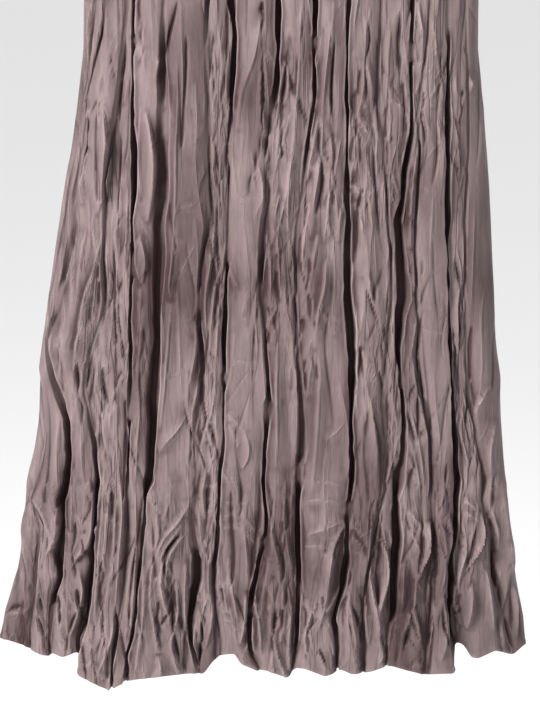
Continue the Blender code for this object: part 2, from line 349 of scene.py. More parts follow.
class TubeLine:
    """One side of the tube at one height, from its left seam to its right one, read by distance along it."""

    def __init__(self, tube: Tube, side: Side, z: float) -> None:
        """Works out the line.

        Args:
            tube: the plain tube.
            side: the front or the back.
            z: the height in mm.
        """
        ring = tube.ring_at(z)
        turn = np.linspace(0.0, np.pi, tube.samples)
        bend = 2.0 / ring.squareness
        cosine = np.cos(turn)
        middle = (ring.right + ring.left) / 2
        half = (ring.right - ring.left) / 2
        self.x = middle - half * np.sign(cosine) * np.abs(cosine) ** bend
        self.y = side.value * (tube.seam_gap / 2 + ring.half_depth * np.sin(turn) ** bend)
        self.along = np.concatenate([[0.0], np.cumsum(np.hypot(np.diff(self.x), np.diff(self.y)))])
        tangent = np.stack([np.gradient(self.x), np.gradient(self.y)], axis=1)
        tangent /= np.linalg.norm(tangent, axis=1, keepdims=True)
        self.normal = side.value * np.stack([-tangent[:, 1], tangent[:, 0]], axis=1)
        self.length = float(self.along[-1])

    def distance_of(self, x: Points) -> Points:
        """The distance along the line at each x."""
        return np.interp(x, self.x, self.along)

    def spot(self, along: Points) -> Points:
        """Points on the line, without any stand."""
        return np.stack([np.interp(along, self.along, part) for part in (self.x, self.y)], axis=-1)

    def outward(self, along: Points) -> Points:
        """The direction out of the tube at each distance."""
        way = np.stack([np.interp(along, self.along, part) for part in self.normal.T], axis=-1)
        return way / np.linalg.norm(way, axis=-1, keepdims=True)


# ----- Folds by name -----


class Gap(NamedTuple):
    """The gap between two pleats.

    Its rows are (down or z, across or x, width, depth). A width under zero laps one pleat over the other.
    """

    rows: Table


class Pleat(NamedTuple):
    """The cloth between two gaps.

    Its rows are (down or z, stand at its left edge, stand at its right edge, crown, crush): how far its edges
    stand out of the tube, how far its middle swells past them, and how crumpled it is, from 0 to 1.
    """

    rows: Table


class Knot(NamedTuple):
    """A pinched spot in the view, with short folds that fan out of it, up and down the cloth.

    reach is how long its folds are in mm, spread is the widest angle between one of them and the upright, in
    degrees, and above and below count them.
    """

    across: float
    down: float
    reach: float
    spread: float
    above: int
    below: int


class Crease(NamedTuple):
    """A soft ridge, or a trough where rise is under zero, that is placed one by one.

    rise is its height as a share of crease_lift. reach_left and reach_right are how far its slopes reach in
    mm, as seen on a route that runs down; on one that runs to the right they are what is below and above it.
    The route has (across, down) points.
    """

    rise: float
    reach_left: float
    reach_right: float
    route: Route


FRONT_GAPS: tuple[Gap, ...] = tuple(Gap(rows) for rows in (
    ((0, 96, 3, 8), (50, 92, 2, 6), (70, 88, 2, 6), (110, 81, 2, 7), (220, 66, 3, 8), (330, 45, 3, 8),
     (360, 43, 2, 3), (440, 46, 2, 2), (480, 40, 2, 4), (500, 34, 2, 6), (530, 41, 3, 8), (570, 35, 3, 7),
     (610, 31, 3, 6), (640, 24, 2, 5)),
    ((0, 107, 3, 12), (35, 104, 3, 10), (65, 96, 3, 9), (95, 88, 3, 8), (120, 86, 3, 8), (150, 82, 4, 9),
     (200, 75, 8, 10), (250, 70, 8, 10), (290, 61, 8, 12), (320, 54, 7, 12), (340, 49, 4, 9),
     (360, 51, 8, 12), (380, 55, 10, 14), (400, 62, 14, 18), (420, 68, 11, 20), (440, 69, 8, 20),
     (480, 68, 12, 22), (500, 63, 11, 22), (520, 66, 8, 20), (540, 63, 13, 20), (560, 59, 16, 20),
     (580, 60, 6, 16), (600, 53, 9, 16), (620, 50, 8, 14), (650, 47, 4, 10)),
    ((0, 128, 2, 5), (50, 123, 2, 6), (95, 118, 3, 8), (120, 115, 3, 8), (155, 111, 3, 6), (180, 108, 2, 3),
     (215, 106, 3, 7), (260, 104, 4, 8), (300, 106, 4, 8), (320, 102, 3, 6), (345, 93, 3, 6),
     (370, 86, 3, 7), (390, 84, 3, 7), (410, 88, 3, 8), (445, 94, 5, 12), (480, 98, 7, 16), (500, 98, 7, 18),
     (520, 97, 6, 18), (545, 94, 6, 18), (580, 92, 8, 18), (620, 88, 8, 16), (650, 79, 4, 12)),
    ((0, 134, 4, 14), (50, 134, 5, 16), (70, 134, 6, 18), (110, 133, 8, 18), (150, 135, 8, 18),
     (200, 134, 7, 18), (220, 133, 4, 12), (250, 134, 4, 12), (290, 132, 4, 14), (345, 131, 5, 16),
     (400, 130, 4, 15), (440, 129, 5, 14), (480, 128, 4, 12), (510, 129, 3, 8), (540, 130, 3, 5),
     (590, 124, 3, 6), (640, 116, 3, 8), (680, 113, 3, 8)),
    ((0, 166, 6, 8), (40, 163, 8, 12), (75, 163, 12, 18), (110, 164, 13, 12), (160, 164, 13, 13),
     (200, 164, 15, 16), (225, 160, 16, 17), (250, 160, 14, 17), (300, 158, 13, 17), (330, 158, 13, 19),
     (370, 156, 13, 20), (400, 153, 15, 22), (420, 153, 10, 22), (440, 152, 10, 22), (480, 149, 14, 22),
     (492, 146, 4, 14), (520, 145, 3, 12), (550, 142, 3, 12), (600, 138, 4, 12), (640, 131, 5, 14),
     (675, 126, 4, 10)),
    ((0, 208, 6, 12), (50, 206, 3, 8), (110, 208, 3, 8), (150, 207, 3, 6), (200, 208, 8, 12),
     (220, 209, 9, 12), (250, 203, 4, 10), (270, 200, 4, 9), (300, 199, 5, 10), (330, 200, 6, 12),
     (370, 203, 5, 12), (400, 200, 8, 8), (430, 194, 4, 6), (470, 199, 4, 5), (500, 193, 4, 8),
     (520, 190, 4, 10), (540, 192, 6, 14), (560, 197, 13, 18), (580, 196, 12, 18), (600, 193, 9, 18),
     (620, 190, 6, 16), (640, 192, 5, 14), (665, 198, 4, 10)),
    ((0, 232, 12, 18), (50, 235, 5, 16), (80, 233, 5, 16), (110, 232, 4, 12), (150, 229, 4, 8),
     (200, 230, 3, 12), (250, 229, 3, 12), (270, 227, 3, 14), (300, 226, 4, 16), (330, 224, 6, 18),
     (360, 224, 5, 18), (400, 224, 3, 12), (440, 223, 3, 12), (480, 221, 6, 14), (510, 219, 4, 12),
     (540, 217, 6, 12), (560, 215, 8, 14), (590, 214, 3, 8), (620, 216, 3, 6), (650, 218, 4, 8)),
    ((0, 278, 7, 16), (40, 278, 6, 16), (80, 277, 5, 14), (110, 273, 6, 10), (150, 270, 3, 5),
     (200, 268, 4, 8), (220, 263, 4, 10), (250, 262, 7, 12), (300, 260, 4, 10), (330, 264, 4, 10),
     (370, 267, 5, 12), (400, 268, 9, 16), (440, 266, 5, 14), (480, 263, 9, 16), (510, 266, 5, 14),
     (530, 266, 4, 12), (550, 262, 4, 12), (590, 252, 5, 14), (620, 249, 6, 14), (650, 250, 5, 12),
     (668, 260, 3, 6)),
    ((0, 315, 8, 18), (50, 314, 5, 14), (100, 315, 5, 12), (130, 310, 5, 12), (160, 305, 4, 9),
     (190, 303, 3, 6), (220, 298, 4, 6), (250, 295, 4, 8), (300, 297, 3, 8), (350, 298, 4, 8),
     (380, 301, 8, 8), (440, 303, 8, 10), (470, 300, 8, 14), (500, 298, 8, 18), (540, 297, 8, 18),
     (580, 299, 6, 16), (620, 298, 6, 16), (650, 295, 5, 14), (668, 291, 3, 8)),
    ((0, 349, 6, 14), (50, 347, 3, 14), (110, 347, 3, 14), (150, 346, 3, 14), (200, 347, 6, 16),
     (250, 348, 9, 16), (300, 348, 10, 18), (330, 350, 13, 20), (350, 351, 11, 20), (400, 351, 9, 20),
     (450, 350, 7, 20), (480, 351, 8, 20), (500, 348, 5, 16), (520, 346, 4, 12), (545, 346, 5, 12),
     (560, 346, 8, 16), (590, 341, 6, 16), (620, 334, 5, 14), (640, 336, 4, 12), (668, 337, 2, 10)),
    ((0, 381, 3, 9), (50, 380, 3, 9), (90, 380, 3, 8), (110, 381, 7, 7), (150, 384, 3, 5), (200, 386, 3, 5),
     (250, 390, 3, 6), (300, 391, 4, 8), (350, 386, 5, 7), (400, 384, 6, 7), (450, 387, 4, 7),
     (490, 384, 4, 5), (520, 377, 3, 5), (550, 370, 3, 6), (600, 363, 4, 7), (650, 362, 4, 8)),
    ((0, 412, 8, 16), (50, 411, 5, 14), (110, 411, 5, 14), (140, 409, 7, 16), (165, 405, 10, 18),
     (200, 402, 8, 18), (220, 399, 13, 18), (250, 400, 15, 20), (300, 400, 17, 20), (330, 399, 11, 20),
     (350, 397, 6, 18), (380, 400, 5, 16), (430, 404, 4, 14), (460, 402, 6, 14), (480, 399, 15, 18),
     (500, 396, 8, 20), (540, 397, 11, 22), (560, 395, 12, 22), (590, 393, 12, 22), (615, 393, 7, 18),
     (635, 388, 4, 10), (665, 386, 3, 8)),
    ((0, 430, 3, 6), (60, 424, 3, 5), (110, 418, 3, 5), (160, 417, 3, 5), (220, 414, 3, 6), (300, 416, 3, 5),
     (350, 420, 4, 5), (400, 425, 4, 6), (440, 428, 4, 7), (500, 431, 4, 7), (550, 432, 4, 8),
     (600, 430, 4, 7), (650, 424, 3, 6)),
    ((0, 448, 6, 14), (50, 447, 5, 16), (110, 448, 9, 18), (150, 446, 6, 16), (200, 446, 9, 18),
     (250, 446, 4, 16), (300, 447, 3, 16), (350, 449, 4, 18), (400, 452, 5, 18), (440, 454, 7, 18),
     (480, 456, 12, 20), (500, 454, 8, 20), (540, 454, 6, 18), (560, 450, 7, 18), (590, 449, 9, 18),
     (620, 449, 8, 18), (645, 449, 6, 14), (672, 455, 3, 8)),
    ((0, 466, 2, 3), (75, 466, 3, 6), (150, 467, 3, 6), (200, 465, 4, 7), (250, 464, 3, 5), (290, 464, 3, 3),
     (340, 467, 5, 7), (380, 468, 6, 7), (420, 472, 4, 6), (460, 480, 5, 7), (480, 484, 8, 9),
     (500, 481, 4, 7), (540, 490, 5, 8), (580, 493, 6, 9), (620, 503, 4, 8), (655, 513, 3, 6)),
))

FRONT_PLEATS: tuple[Pleat, ...] = tuple(Pleat(rows) for rows in (
    ((0, 0, 0, 1, 0.4), (330, 0, 1, 1, 0.4), (480, 0, 3, 3, 0.5), (560, 0, 1, 4, 0.8),
     (640, -4, -4, 5, 0.8)),
    ((0, 2, 2, 1, 0.6), (150, 0, 0, 1, 0.8), (330, 1, 1, 0, 0.8), (380, 3, 5, 3, 0.3), (460, 3, 5, 3, 0.5),
     (540, 2, 3, 7, 0.7), (640, -8, -9, 7, 0.7)),
    ((0, 5, 4, 2, 0.5), (110, 3, 6, 2, 0.4), (190, 3, 7, 2, 0.3), (240, -2, 3, 1, 0.8), (330, -3, 4, 1, 0.7),
     (360, 3, 2, 1, 0.5), (450, 5, 2, 4, 0.5), (540, 3, 3, 8, 0.6), (640, -6, -8, 8, 0.6)),
    ((0, 2, 2, 0, 0.3), (110, 1, 2, 1, 0.9), (220, 2, 3, 1, 1.0), (330, 2, 4, 1, 1.0), (450, 1, 3, 3, 0.9),
     (540, 3, 7, 5, 0.8), (610, 8, 14, 5, 0.9), (680, 14, 17, 5, 0.6)),
    ((0, 4, 3, 2, 0.3), (110, 4, 5, 2, 0.3), (210, 5, 4, 2, 0.3), (330, 5, 4, 2, 0.6), (450, 6, 5, 2, 0.4),
     (540, 8, 8, 3, 0.4), (610, 14, 14, 4, 0.5), (680, 18, 20, 4, 0.4)),
    ((0, 5, 5, 3, 0.25), (110, 6, 5, 3, 0.3), (220, 6, 6, 3, 0.25), (330, 7, 6, 3, 0.3),
     (450, 7, 4, 3, 0.35), (540, 10, 8, 4, 0.7), (610, 14, 12, 6, 0.7), (680, 18, 14, 6, 0.5)),
    ((0, 3, 2, 1, 0.6), (110, 3, 3, 1, 1.0), (180, 3, 3, 1, 1.0), (250, 4, 4, 2, 0.7), (330, 5, 5, 2, 0.7),
     (450, 3, 6, 2, 0.9), (540, 4, 6, 4, 0.8), (610, 7, 9, 5, 0.8), (680, 12, 10, 5, 0.6)),
    ((0, 6, 5, 2, 0.3), (110, 6, 6, 3, 0.4), (220, 7, 7, 3, 0.35), (330, 7, 8, 3, 0.3), (450, 7, 7, 3, 0.35),
     (540, 9, 8, 4, 0.7), (610, 9, 9, 6, 0.7), (680, 8, 8, 6, 0.4)),
    ((0, 4, 5, 2, 0.6), (110, 4, 4, 2, 0.7), (220, 4, 4, 2, 0.9), (330, 4, 5, 2, 0.9), (390, 5, 2, 2, 0.4),
     (470, 5, 3, 3, 0.5), (540, 6, 7, 5, 0.8), (610, 9, 10, 6, 0.8), (680, 13, 14, 6, 0.7)),
    ((0, 5, 6, 3, 0.3), (110, 3, 6, 3, 0.4), (200, 3, 6, 2, 0.9), (260, 5, 7, 3, 0.4), (330, 5, 8, 3, 0.3),
     (450, 6, 8, 4, 0.3), (540, 8, 9, 5, 0.6), (610, 11, 10, 7, 0.8), (680, 14, 12, 8, 0.6)),
    ((0, 5, 4, 3, 0.4), (110, 4, 4, 2, 1.0), (200, 4, 5, 2, 0.9), (270, 6, 5, 3, 0.4), (350, 5, 3, 2, 0.9),
     (450, 5, 4, 4, 0.4), (540, 8, 6, 5, 0.8), (610, 10, 9, 6, 0.8), (680, 14, 12, 7, 0.6)),
    ((0, 3, 5, 2, 0.5), (110, 4, 4, 2, 0.9), (200, 4, 2, 1, 0.9), (300, 1, 2, 1, 0.7), (400, 2, 3, 1, 0.9),
     (480, 2, 1, 2, 0.9), (560, 4, 3, 3, 0.8), (610, 7, 6, 4, 0.8), (680, 12, 10, 5, 0.7)),
    ((0, 2, 3, 1, 0.8), (110, 2, 5, 1, 1.0), (200, 2, 5, 1, 0.8), (300, 4, 4, 1, 0.6), (400, 6, 5, 2, 0.6),
     (480, 6, 3, 3, 0.7), (560, 6, 6, 5, 0.7), (610, 9, 9, 5, 0.7), (680, 14, 14, 4, 0.5)),
    ((0, 3, 3, 1, 0.8), (110, 5, 4, 2, 0.9), (200, 6, 6, 3, 0.3), (300, 6, 7, 3, 0.3), (450, 5, 7, 3, 0.3),
     (510, 4, 7, 4, 0.8), (560, 6, 7, 6, 0.7), (610, 9, 12, 6, 0.6), (680, 14, 16, 5, 0.4)),
    ((0, 3, 3, 1, 0.3), (110, 2, 3, 1, 0.8), (250, 1, 3, 1, 0.9), (330, 1, 2, 1, 0.9), (450, 2, 2, 2, 0.9),
     (510, 2, 3, 4, 0.8), (580, 2, 3, 6, 0.7), (640, -4, -3, 6, 0.5)),
    ((0, 4, 1, 1, 0.15), (110, 3, 1, 2, 0.2), (330, 4, 0, 3, 0.2), (400, 4, 0, 3, 0.3), (480, 5, 0, 4, 0.6),
     (560, 3, 0, 4, 0.5), (640, -2, -2, 4, 0.4)),
))

FRONT_HEM: tuple[Route, ...] = (
    ((-6, 634), (0, 637), (17, 642), (24, 645)),
    ((24, 645), (40, 654), (45, 655)),
    ((46, 647), (52, 652), (63, 657), (80, 650)),
    ((76, 674), (95, 684), (111, 691)),
    ((113, 688), (127, 680)),
    ((127, 680), (146, 678), (188, 673), (197, 673)),
    ((198, 673), (204, 673), (214, 659)),
    ((214, 655), (235, 653), (240, 663), (261, 672)),
    ((260, 668), (286, 677), (291, 677)),
    ((291, 667), (304, 668), (325, 676), (334, 673), (338, 668)),
    ((337, 667), (352, 674), (364, 672)),
    ((363, 672), (372, 671), (388, 665)),
    ((386, 664), (407, 670), (424, 674)),
    ((424, 674), (455, 673)),
    ((455, 641), (463, 644), (471, 657), (478, 658), (495, 650), (513, 654)),
    ((513, 654), (524, 644), (532, 640)),
)

# Each row is a crease's rise, its left and right reach, and its route.
FRONT_CREASES: tuple[Crease, ...] = tuple(Crease(*shape[:3], shape[3:]) for shape in (
    # Upper left: thin outer folds, the first leaf and the crushed spots beside it
    (1.6, 3, 5, (92, 0), (90, 40), (88, 70)),
    (3.0, 14, 2.5, (106, 102), (109, 125), (111, 150), (110, 178), (105, 200), (98, 216)),
    (1.8, 3, 6, (88, 150), (85, 180), (83, 205)), (1.3, 3, 3, (108, 66), (119, 60)),
    (1.2, 3, 3, (107, 73), (120, 67)), (1.4, 3, 4, (80, 104), (93, 94)), (1.4, 4, 3, (84, 122), (95, 106)),
    (1.2, 3, 3, (103, 85), (101, 110), (104, 128)), (1.5, 4, 5, (72, 215), (69, 250), (66, 290)),
    (1.8, 4, 4, (78, 225), (74, 262), (72, 300), (70, 330)),
    (1.5, 4, 4, (86, 230), (82, 260), (79, 292), (74, 322)),
    (3.6, 3, 11, (101, 235), (97, 268), (89, 292), (83, 325), (77, 360), (74, 395)),
    (1.6, 3, 4, (96, 205), (94, 232), (101, 262), (103, 300), (99, 330)),
    (1.4, 3, 3, (100, 262), (96, 300), (92, 330)),
    # Thin folds between the two leaves
    (1.8, 3, 3, (122, 160), (120, 200), (118, 240), (120, 280)),
    (1.6, 2.5, 3, (129, 185), (128, 220), (126, 262), (128, 300)),
    (1.8, 3, 3, (114, 240), (118, 270), (117, 305), (121, 340), (120, 372)),
    (1.5, 3, 3, (113, 310), (119, 303), (127, 306)),
    (1.6, 3, 4, (110, 330), (118, 352), (125, 372), (124, 400)),
    (1.8, 3, 4, (129, 362), (121, 380), (113, 400), (110, 430)),
    (1.5, 4, 4, (100, 350), (97, 385), (103, 420), (106, 455)),
    (1.8, 3, 3, (92, 442), (100, 431), (108, 424)), (1.6, 3, 3, (88, 400), (96, 410), (101, 436)),
    # The second leaf, the diamond and the thin fold below it
    (2.8, 13, 2, (147, 110), (152, 130), (156, 160), (154, 195), (149, 222)),
    (1.0, 2, 6, (141, 105), (140, 150), (142, 200)), (2.2, 8, 2, (141, 234), (147, 258), (144, 284)),
    (1.8, 2, 8, (141, 234), (136, 256), (142, 284)),
    (2.2, 3, 5, (143, 284), (141, 300), (144, 318), (141, 342), (139, 375), (141, 400)),
    (1.4, 4, 3, (137, 380), (141, 410), (138, 450), (137, 480)),
    # The broad smooth pleat
    (1.6, 2, 6, (177, 60), (179, 100), (177, 150), (176, 200), (173, 240)),
    (0.9, 7, 8, (181, 0), (184, 60), (183, 130)), (0.8, 6, 7, (196, 80), (198, 125), (194, 165)),
    (1.1, 3, 3, (195, 122), (201, 128), (206, 126)),
    (1.2, 5, 3, (178, 208), (190, 206), (199, 201), (206, 196)),
    (1.8, 2, 5, (174, 236), (173, 262), (170, 285), (172, 300)),
    (0.9, 4, 3, (180, 274), (188, 270), (193, 273)), (1.0, 3, 4, (172, 318), (184, 320), (196, 318)),
    (0.9, 3, 4, (170, 374), (180, 373), (187, 370)),
    (1.5, 12, 5, (196, 318), (197, 345), (190, 385), (188, 415)),
    (1.6, 9, 4, (188, 414), (177, 430), (166, 442), (160, 452)),
    (1.5, 2, 5, (172, 300), (169, 340), (165, 390), (160, 430)),
    # Thin crushed folds right of it
    (1.5, 2.5, 2.5, (213, 45), (216, 80), (214, 112), (219, 135)),
    (1.4, 2.5, 2.5, (219, 30), (222, 65), (220, 100), (224, 130)),
    (1.4, 2.5, 2.5, (226, 50), (226, 85), (228, 120)), (1.3, 2.5, 2.5, (208, 96), (216, 94), (224, 98)),
    (1.3, 2.5, 2.5, (211, 112), (220, 109), (229, 115)), (1.2, 2.5, 2.5, (214, 122), (223, 119), (230, 124)),
    (2.0, 3, 3, (209, 132), (215, 150), (213, 172), (218, 192)),
    (1.8, 3, 3, (218, 122), (223, 148), (219, 178), (221, 196)),
    (1.4, 2.5, 2.5, (227, 128), (229, 155), (226, 190)),
    (2.0, 4, 4, (216, 200), (214, 240), (210, 268), (206, 300), (208, 345)),
    (1.9, 3, 4, (224, 258), (216, 285), (212, 322), (208, 362)),
    (1.5, 3, 3, (226, 240), (221, 285), (218, 330), (216, 365)),
    (1.7, 3, 3, (212, 365), (206, 395), (209, 425), (214, 455)),
    (1.8, 3, 4, (205, 350), (199, 385), (192, 420), (197, 462)),
    (1.6, 3, 3, (216, 380), (212, 410), (203, 440), (199, 470)),
    (1.6, 3, 3, (220, 430), (214, 455), (206, 478)),
    # The smooth middle pleat
    (1.5, 7, 12, (262, 12), (255, 55), (242, 92), (237, 130)),
    (1.2, 5, 2, (262, 40), (261, 100), (262, 150)), (1.5, 3, 3, (262, 100), (265, 128), (271, 142)),
    (1.7, 4, 3, (257, 158), (263, 185), (262, 215)), (1.6, 3, 3, (266, 165), (272, 190), (270, 212)),
    (1.1, 5, 3, (232, 194), (245, 199), (258, 197)), (1.2, 4, 6, (258, 282), (247, 300), (239, 318)),
    (1.1, 4, 3, (229, 258), (233, 275), (240, 287)), (0.8, 3, 3, (232, 322), (245, 318), (256, 316)),
    (0.8, 3, 3, (228, 363), (240, 360), (255, 364)), (1.0, 6, 3, (256, 275), (256, 320), (258, 352)),
    (1.4, 5, 3, (226, 413), (236, 420), (246, 433)), (1.1, 3, 3, (228, 422), (234, 432), (238, 446)),
    (1.5, 7, 3, (243, 428), (249, 442), (248, 456), (242, 468)),
    # The pleat with a bright leaf at its top and a smooth face lower down
    (1.8, 6, 3, (286, 60), (289, 84), (284, 106)), (1.5, 3, 5, (286, 60), (281, 82), (277, 108)),
    (1.5, 4, 6, (302, 0), (299, 50), (296, 110), (293, 162)),
    (2.0, 4, 4, (290, 112), (284, 138), (276, 165), (270, 192)),
    (1.6, 3, 3, (284, 118), (277, 150), (273, 180)),
    (1.6, 3, 4, (297, 112), (292, 155), (288, 200), (289, 240)),
    (1.6, 3, 4, (292, 168), (284, 205), (276, 238)), (1.6, 3, 3, (281, 190), (275, 215), (272, 240)),
    (1.8, 3, 3, (313, 104), (309, 128), (304, 150)), (1.7, 3, 4, (277, 232), (279, 262), (281, 300)),
    (1.6, 3, 3, (268, 240), (271, 275), (270, 310)), (1.5, 4, 3, (288, 232), (293, 262), (294, 298)),
    (1.6, 3, 3, (270, 322), (278, 306), (283, 300)), (1.6, 3, 3, (271, 338), (280, 322), (286, 305)),
    (1.6, 4, 3, (284, 302), (290, 322), (295, 345)), (1.4, 3, 3, (262, 322), (268, 330), (274, 345)),
    (1.6, 2, 7, (278, 340), (276, 385), (277, 430), (275, 468)),
    (1.8, 9, 2, (292, 352), (297, 378), (297, 430), (295, 470)),
    # Right of the centre: folds that part round small leaves, then a smooth face
    (1.9, 7, 9, (334, 0), (327, 55), (322, 112)), (2.0, 4, 4, (318, 116), (312, 150), (306, 184)),
    (1.7, 4, 4, (323, 120), (320, 160), (314, 200), (310, 240)),
    (1.8, 3, 4, (330, 168), (328, 205), (324, 240)), (1.8, 4, 3, (331, 168), (336, 200), (338, 236)),
    (1.7, 3, 3, (341, 138), (336, 165), (334, 192)), (1.5, 3, 3, (318, 205), (326, 214), (331, 238)),
    (1.5, 3, 3, (345, 188), (340, 215), (338, 240)),
    (1.7, 4, 4, (310, 198), (306, 228), (302, 262), (306, 300)),
    (1.8, 3, 4, (318, 232), (313, 262), (307, 290), (302, 320)),
    (2.2, 3, 9, (326, 258), (324, 285), (318, 310), (314, 340)),
    (1.5, 3, 3, (314, 332), (307, 355), (302, 388)), (1.5, 3, 3, (317, 340), (311, 366), (306, 398)),
    (1.1, 4, 3, (322, 304), (326, 318), (337, 334)), (0.9, 4, 3, (320, 326), (333, 319), (342, 322)),
    (1.5, 2.5, 8, (319, 345), (318, 400), (315, 450), (311, 490)),
    (1.1, 5, 3, (323, 441), (336, 430), (346, 419)),
    # A crushed spot shaped like a V, and the pleat under it
    (1.8, 3, 4, (364, 60), (362, 92), (357, 116)), (1.8, 4, 3, (366, 62), (371, 88), (373, 116)),
    (2.0, 3, 3, (352, 112), (360, 120), (373, 141)), (1.6, 3, 3, (357, 94), (366, 106), (376, 112)),
    (1.8, 3, 4, (352, 116), (354, 150), (349, 180)), (1.7, 4, 3, (358, 132), (364, 158), (373, 186)),
    (1.6, 3, 3, (376, 110), (375, 150), (378, 192)), (1.8, 4, 3, (352, 182), (360, 193), (368, 204)),
    (1.7, 4, 3, (352, 200), (360, 216), (364, 244)),
    (1.4, 3, 3, (368, 150), (366, 185), (371, 220), (369, 250)),
    (1.9, 5, 3, (366, 236), (369, 285), (376, 312), (383, 340), (390, 374)),
    (1.6, 3, 3, (377, 298), (381, 330), (386, 358), (389, 384)),
    (1.8, 4, 3, (359, 350), (368, 370), (376, 391)), (1.5, 3, 3, (364, 352), (373, 372), (379, 388)),
    (1.8, 8, 3, (362, 372), (370, 400), (376, 440), (377, 480)),
    (1.0, 3, 6, (356, 300), (357, 350), (356, 420)),
    # The pleats beside the right-hand gap
    (1.6, 3, 3, (400, 40), (402, 64), (405, 88)), (1.6, 3, 4, (388, 98), (392, 112), (388, 136), (390, 162)),
    (1.8, 6, 3, (389, 100), (400, 106), (408, 122), (410, 142)),
    (1.8, 3, 3, (386, 158), (392, 176), (399, 196)), (1.6, 3, 3, (384, 174), (389, 190), (396, 206)),
    (1.5, 3, 3, (385, 205), (389, 236), (386, 268)),
    (1.7, 3, 3, (388, 300), (392, 338), (396, 376), (402, 402)),
    (1.5, 3, 3, (383, 330), (388, 360), (393, 392), (392, 430)),
    (1.5, 3, 3, (395, 372), (393, 400), (398, 432)), (1.5, 3, 3, (417, 0), (421, 38), (419, 72)),
    (1.5, 3, 3, (431, 15), (433, 42), (437, 68), (441, 86)), (1.8, 3, 3, (418, 75), (428, 71), (441, 80)),
    (1.8, 3, 3, (437, 82), (430, 95), (421, 109)), (1.6, 3, 3, (420, 111), (431, 106), (441, 110)),
    (1.3, 2.5, 2.5, (426, 78), (424, 92), (427, 104)),
    (2.6, 2, 12, (422, 112), (416, 140), (411, 170), (408, 205), (409, 250)),
    (0.8, 3, 3, (420, 186), (431, 192), (441, 191)),
    (2.0, 3, 5, (412, 250), (413, 282), (418, 300), (412, 340), (406, 372)),
    (2.2, 12, 2, (411, 352), (415, 382), (421, 410), (427, 440), (429, 472), (427, 500)),
    (1.5, 3, 3, (404, 420), (410, 444), (416, 470), (420, 498)),
    (1.3, 3, 3, (408, 400), (415, 430), (421, 465), (423, 495)),
    (0.9, 3, 3, (424, 305), (436, 309), (446, 307)), (0.8, 3, 3, (421, 329), (434, 332), (448, 334)),
    (1.8, 4, 3, (440, 476), (446, 484), (452, 482)), (1.6, 3, 3, (438, 490), (446, 494), (451, 500)),
    # The narrow fold and the smooth right-hand pleat
    (1.7, 3, 2.5, (455, 94), (461, 104), (455, 122)), (1.4, 3, 3, (453, 118), (456, 145), (459, 180)),
    (1.8, 3, 3, (455, 248), (459, 270), (461, 302)),
    (1.7, 3, 3, (462, 228), (461, 270), (456, 310), (458, 350), (460, 385)),
    (1.6, 2.5, 2.5, (455, 380), (461, 410), (467, 442)), (1.5, 2.5, 2.5, (459, 378), (466, 412), (472, 450)),
    (1.5, 2.5, 2.5, (458, 420), (463, 448), (470, 475)), (1.6, 3, 3, (467, 78), (470, 86), (468, 92)),
    (1.9, 3, 9, (487, 386), (478, 400), (472, 416), (471, 440)),
    (1.3, 6, 6, (492, 420), (486, 450), (488, 480)),
    # Cross creases of the crushed band
    (1.7, 4, 4, (33, 492), (39, 506), (44, 526)), (1.8, 5, 4, (38, 499), (51, 520), (58, 545)),
    (1.6, 5, 4, (44, 478), (55, 492), (60, 512)),
    (3.2, 13, 3, (57, 488), (61, 512), (61, 530), (55, 546), (46, 556)),
    (1.5, 4, 3, (74, 508), (82, 516), (88, 530)), (1.6, 5, 5, (71, 470), (76, 500), (73, 530)),
    (3.4, 14, 3, (90, 478), (96, 500), (96, 524), (90, 544), (80, 556), (73, 570)),
    (2.0, 4, 5, (105, 470), (104, 520), (101, 562), (98, 602), (97, 642)),
    (1.8, 4, 4, (112, 462), (110, 512), (107, 545), (104, 575)),
    (1.8, 4, 4, (121, 480), (124, 515), (121, 560), (118, 600)),
    (1.5, 3, 3, (117, 500), (117, 540), (114, 580)),
    (1.4, 5, 3, (137, 490), (138, 540), (135, 600), (130, 640)),
    (2.4, 5, 5, (190, 503), (180, 518), (166, 534), (156, 556)),
    (2.0, 4, 4, (188, 516), (176, 531), (166, 546), (160, 562)),
    (2.2, 4, 5, (187, 531), (176, 543), (169, 558), (166, 590)),
    (1.8, 4, 4, (150, 488), (154, 500), (163, 512)), (1.4, 4, 4, (172, 478), (170, 500), (164, 520)),
    (2.0, 3, 3, (203, 513), (211, 510), (220, 513)), (1.8, 3, 3, (200, 480), (210, 486), (220, 484)),
    (1.6, 3, 3, (198, 496), (208, 498), (218, 495)), (1.7, 3, 3, (207, 466), (203, 490), (206, 520)),
    (1.6, 3, 3, (213, 470), (216, 495), (213, 520)),
    (1.6, 9, 6, (222, 516), (235, 512), (249, 519), (258, 534)),
    (1.2, 7, 6, (222, 526), (238, 525), (251, 534), (257, 548)),
    (1.5, 4, 3, (224, 500), (238, 503), (251, 500)), (1.2, 4, 4, (232, 475), (238, 490), (236, 505)),
    (1.9, 4, 4, (268, 498), (272, 530), (279, 560), (281, 590)),
    (1.9, 4, 4, (286, 478), (284, 515), (288, 545), (293, 572)),
    (1.6, 4, 3, (270, 490), (280, 496), (291, 492)), (1.5, 4, 3, (266, 540), (276, 536), (290, 541)),
    (2.4, 5, 4, (303, 534), (320, 527), (345, 518)), (1.6, 4, 3, (303, 545), (322, 543), (335, 549)),
    (1.4, 4, 3, (306, 500), (324, 497), (343, 502)), (1.0, 4, 3, (310, 482), (325, 479), (342, 484)),
    (2.6, 9, 4, (345, 520), (333, 545), (328, 572), (324, 602), (316, 630)),
    (2.2, 4, 3, (349, 521), (360, 529), (369, 533)), (1.8, 4, 3, (350, 532), (359, 540), (367, 546)),
    (1.4, 3, 3, (352, 548), (361, 551), (370, 550)),
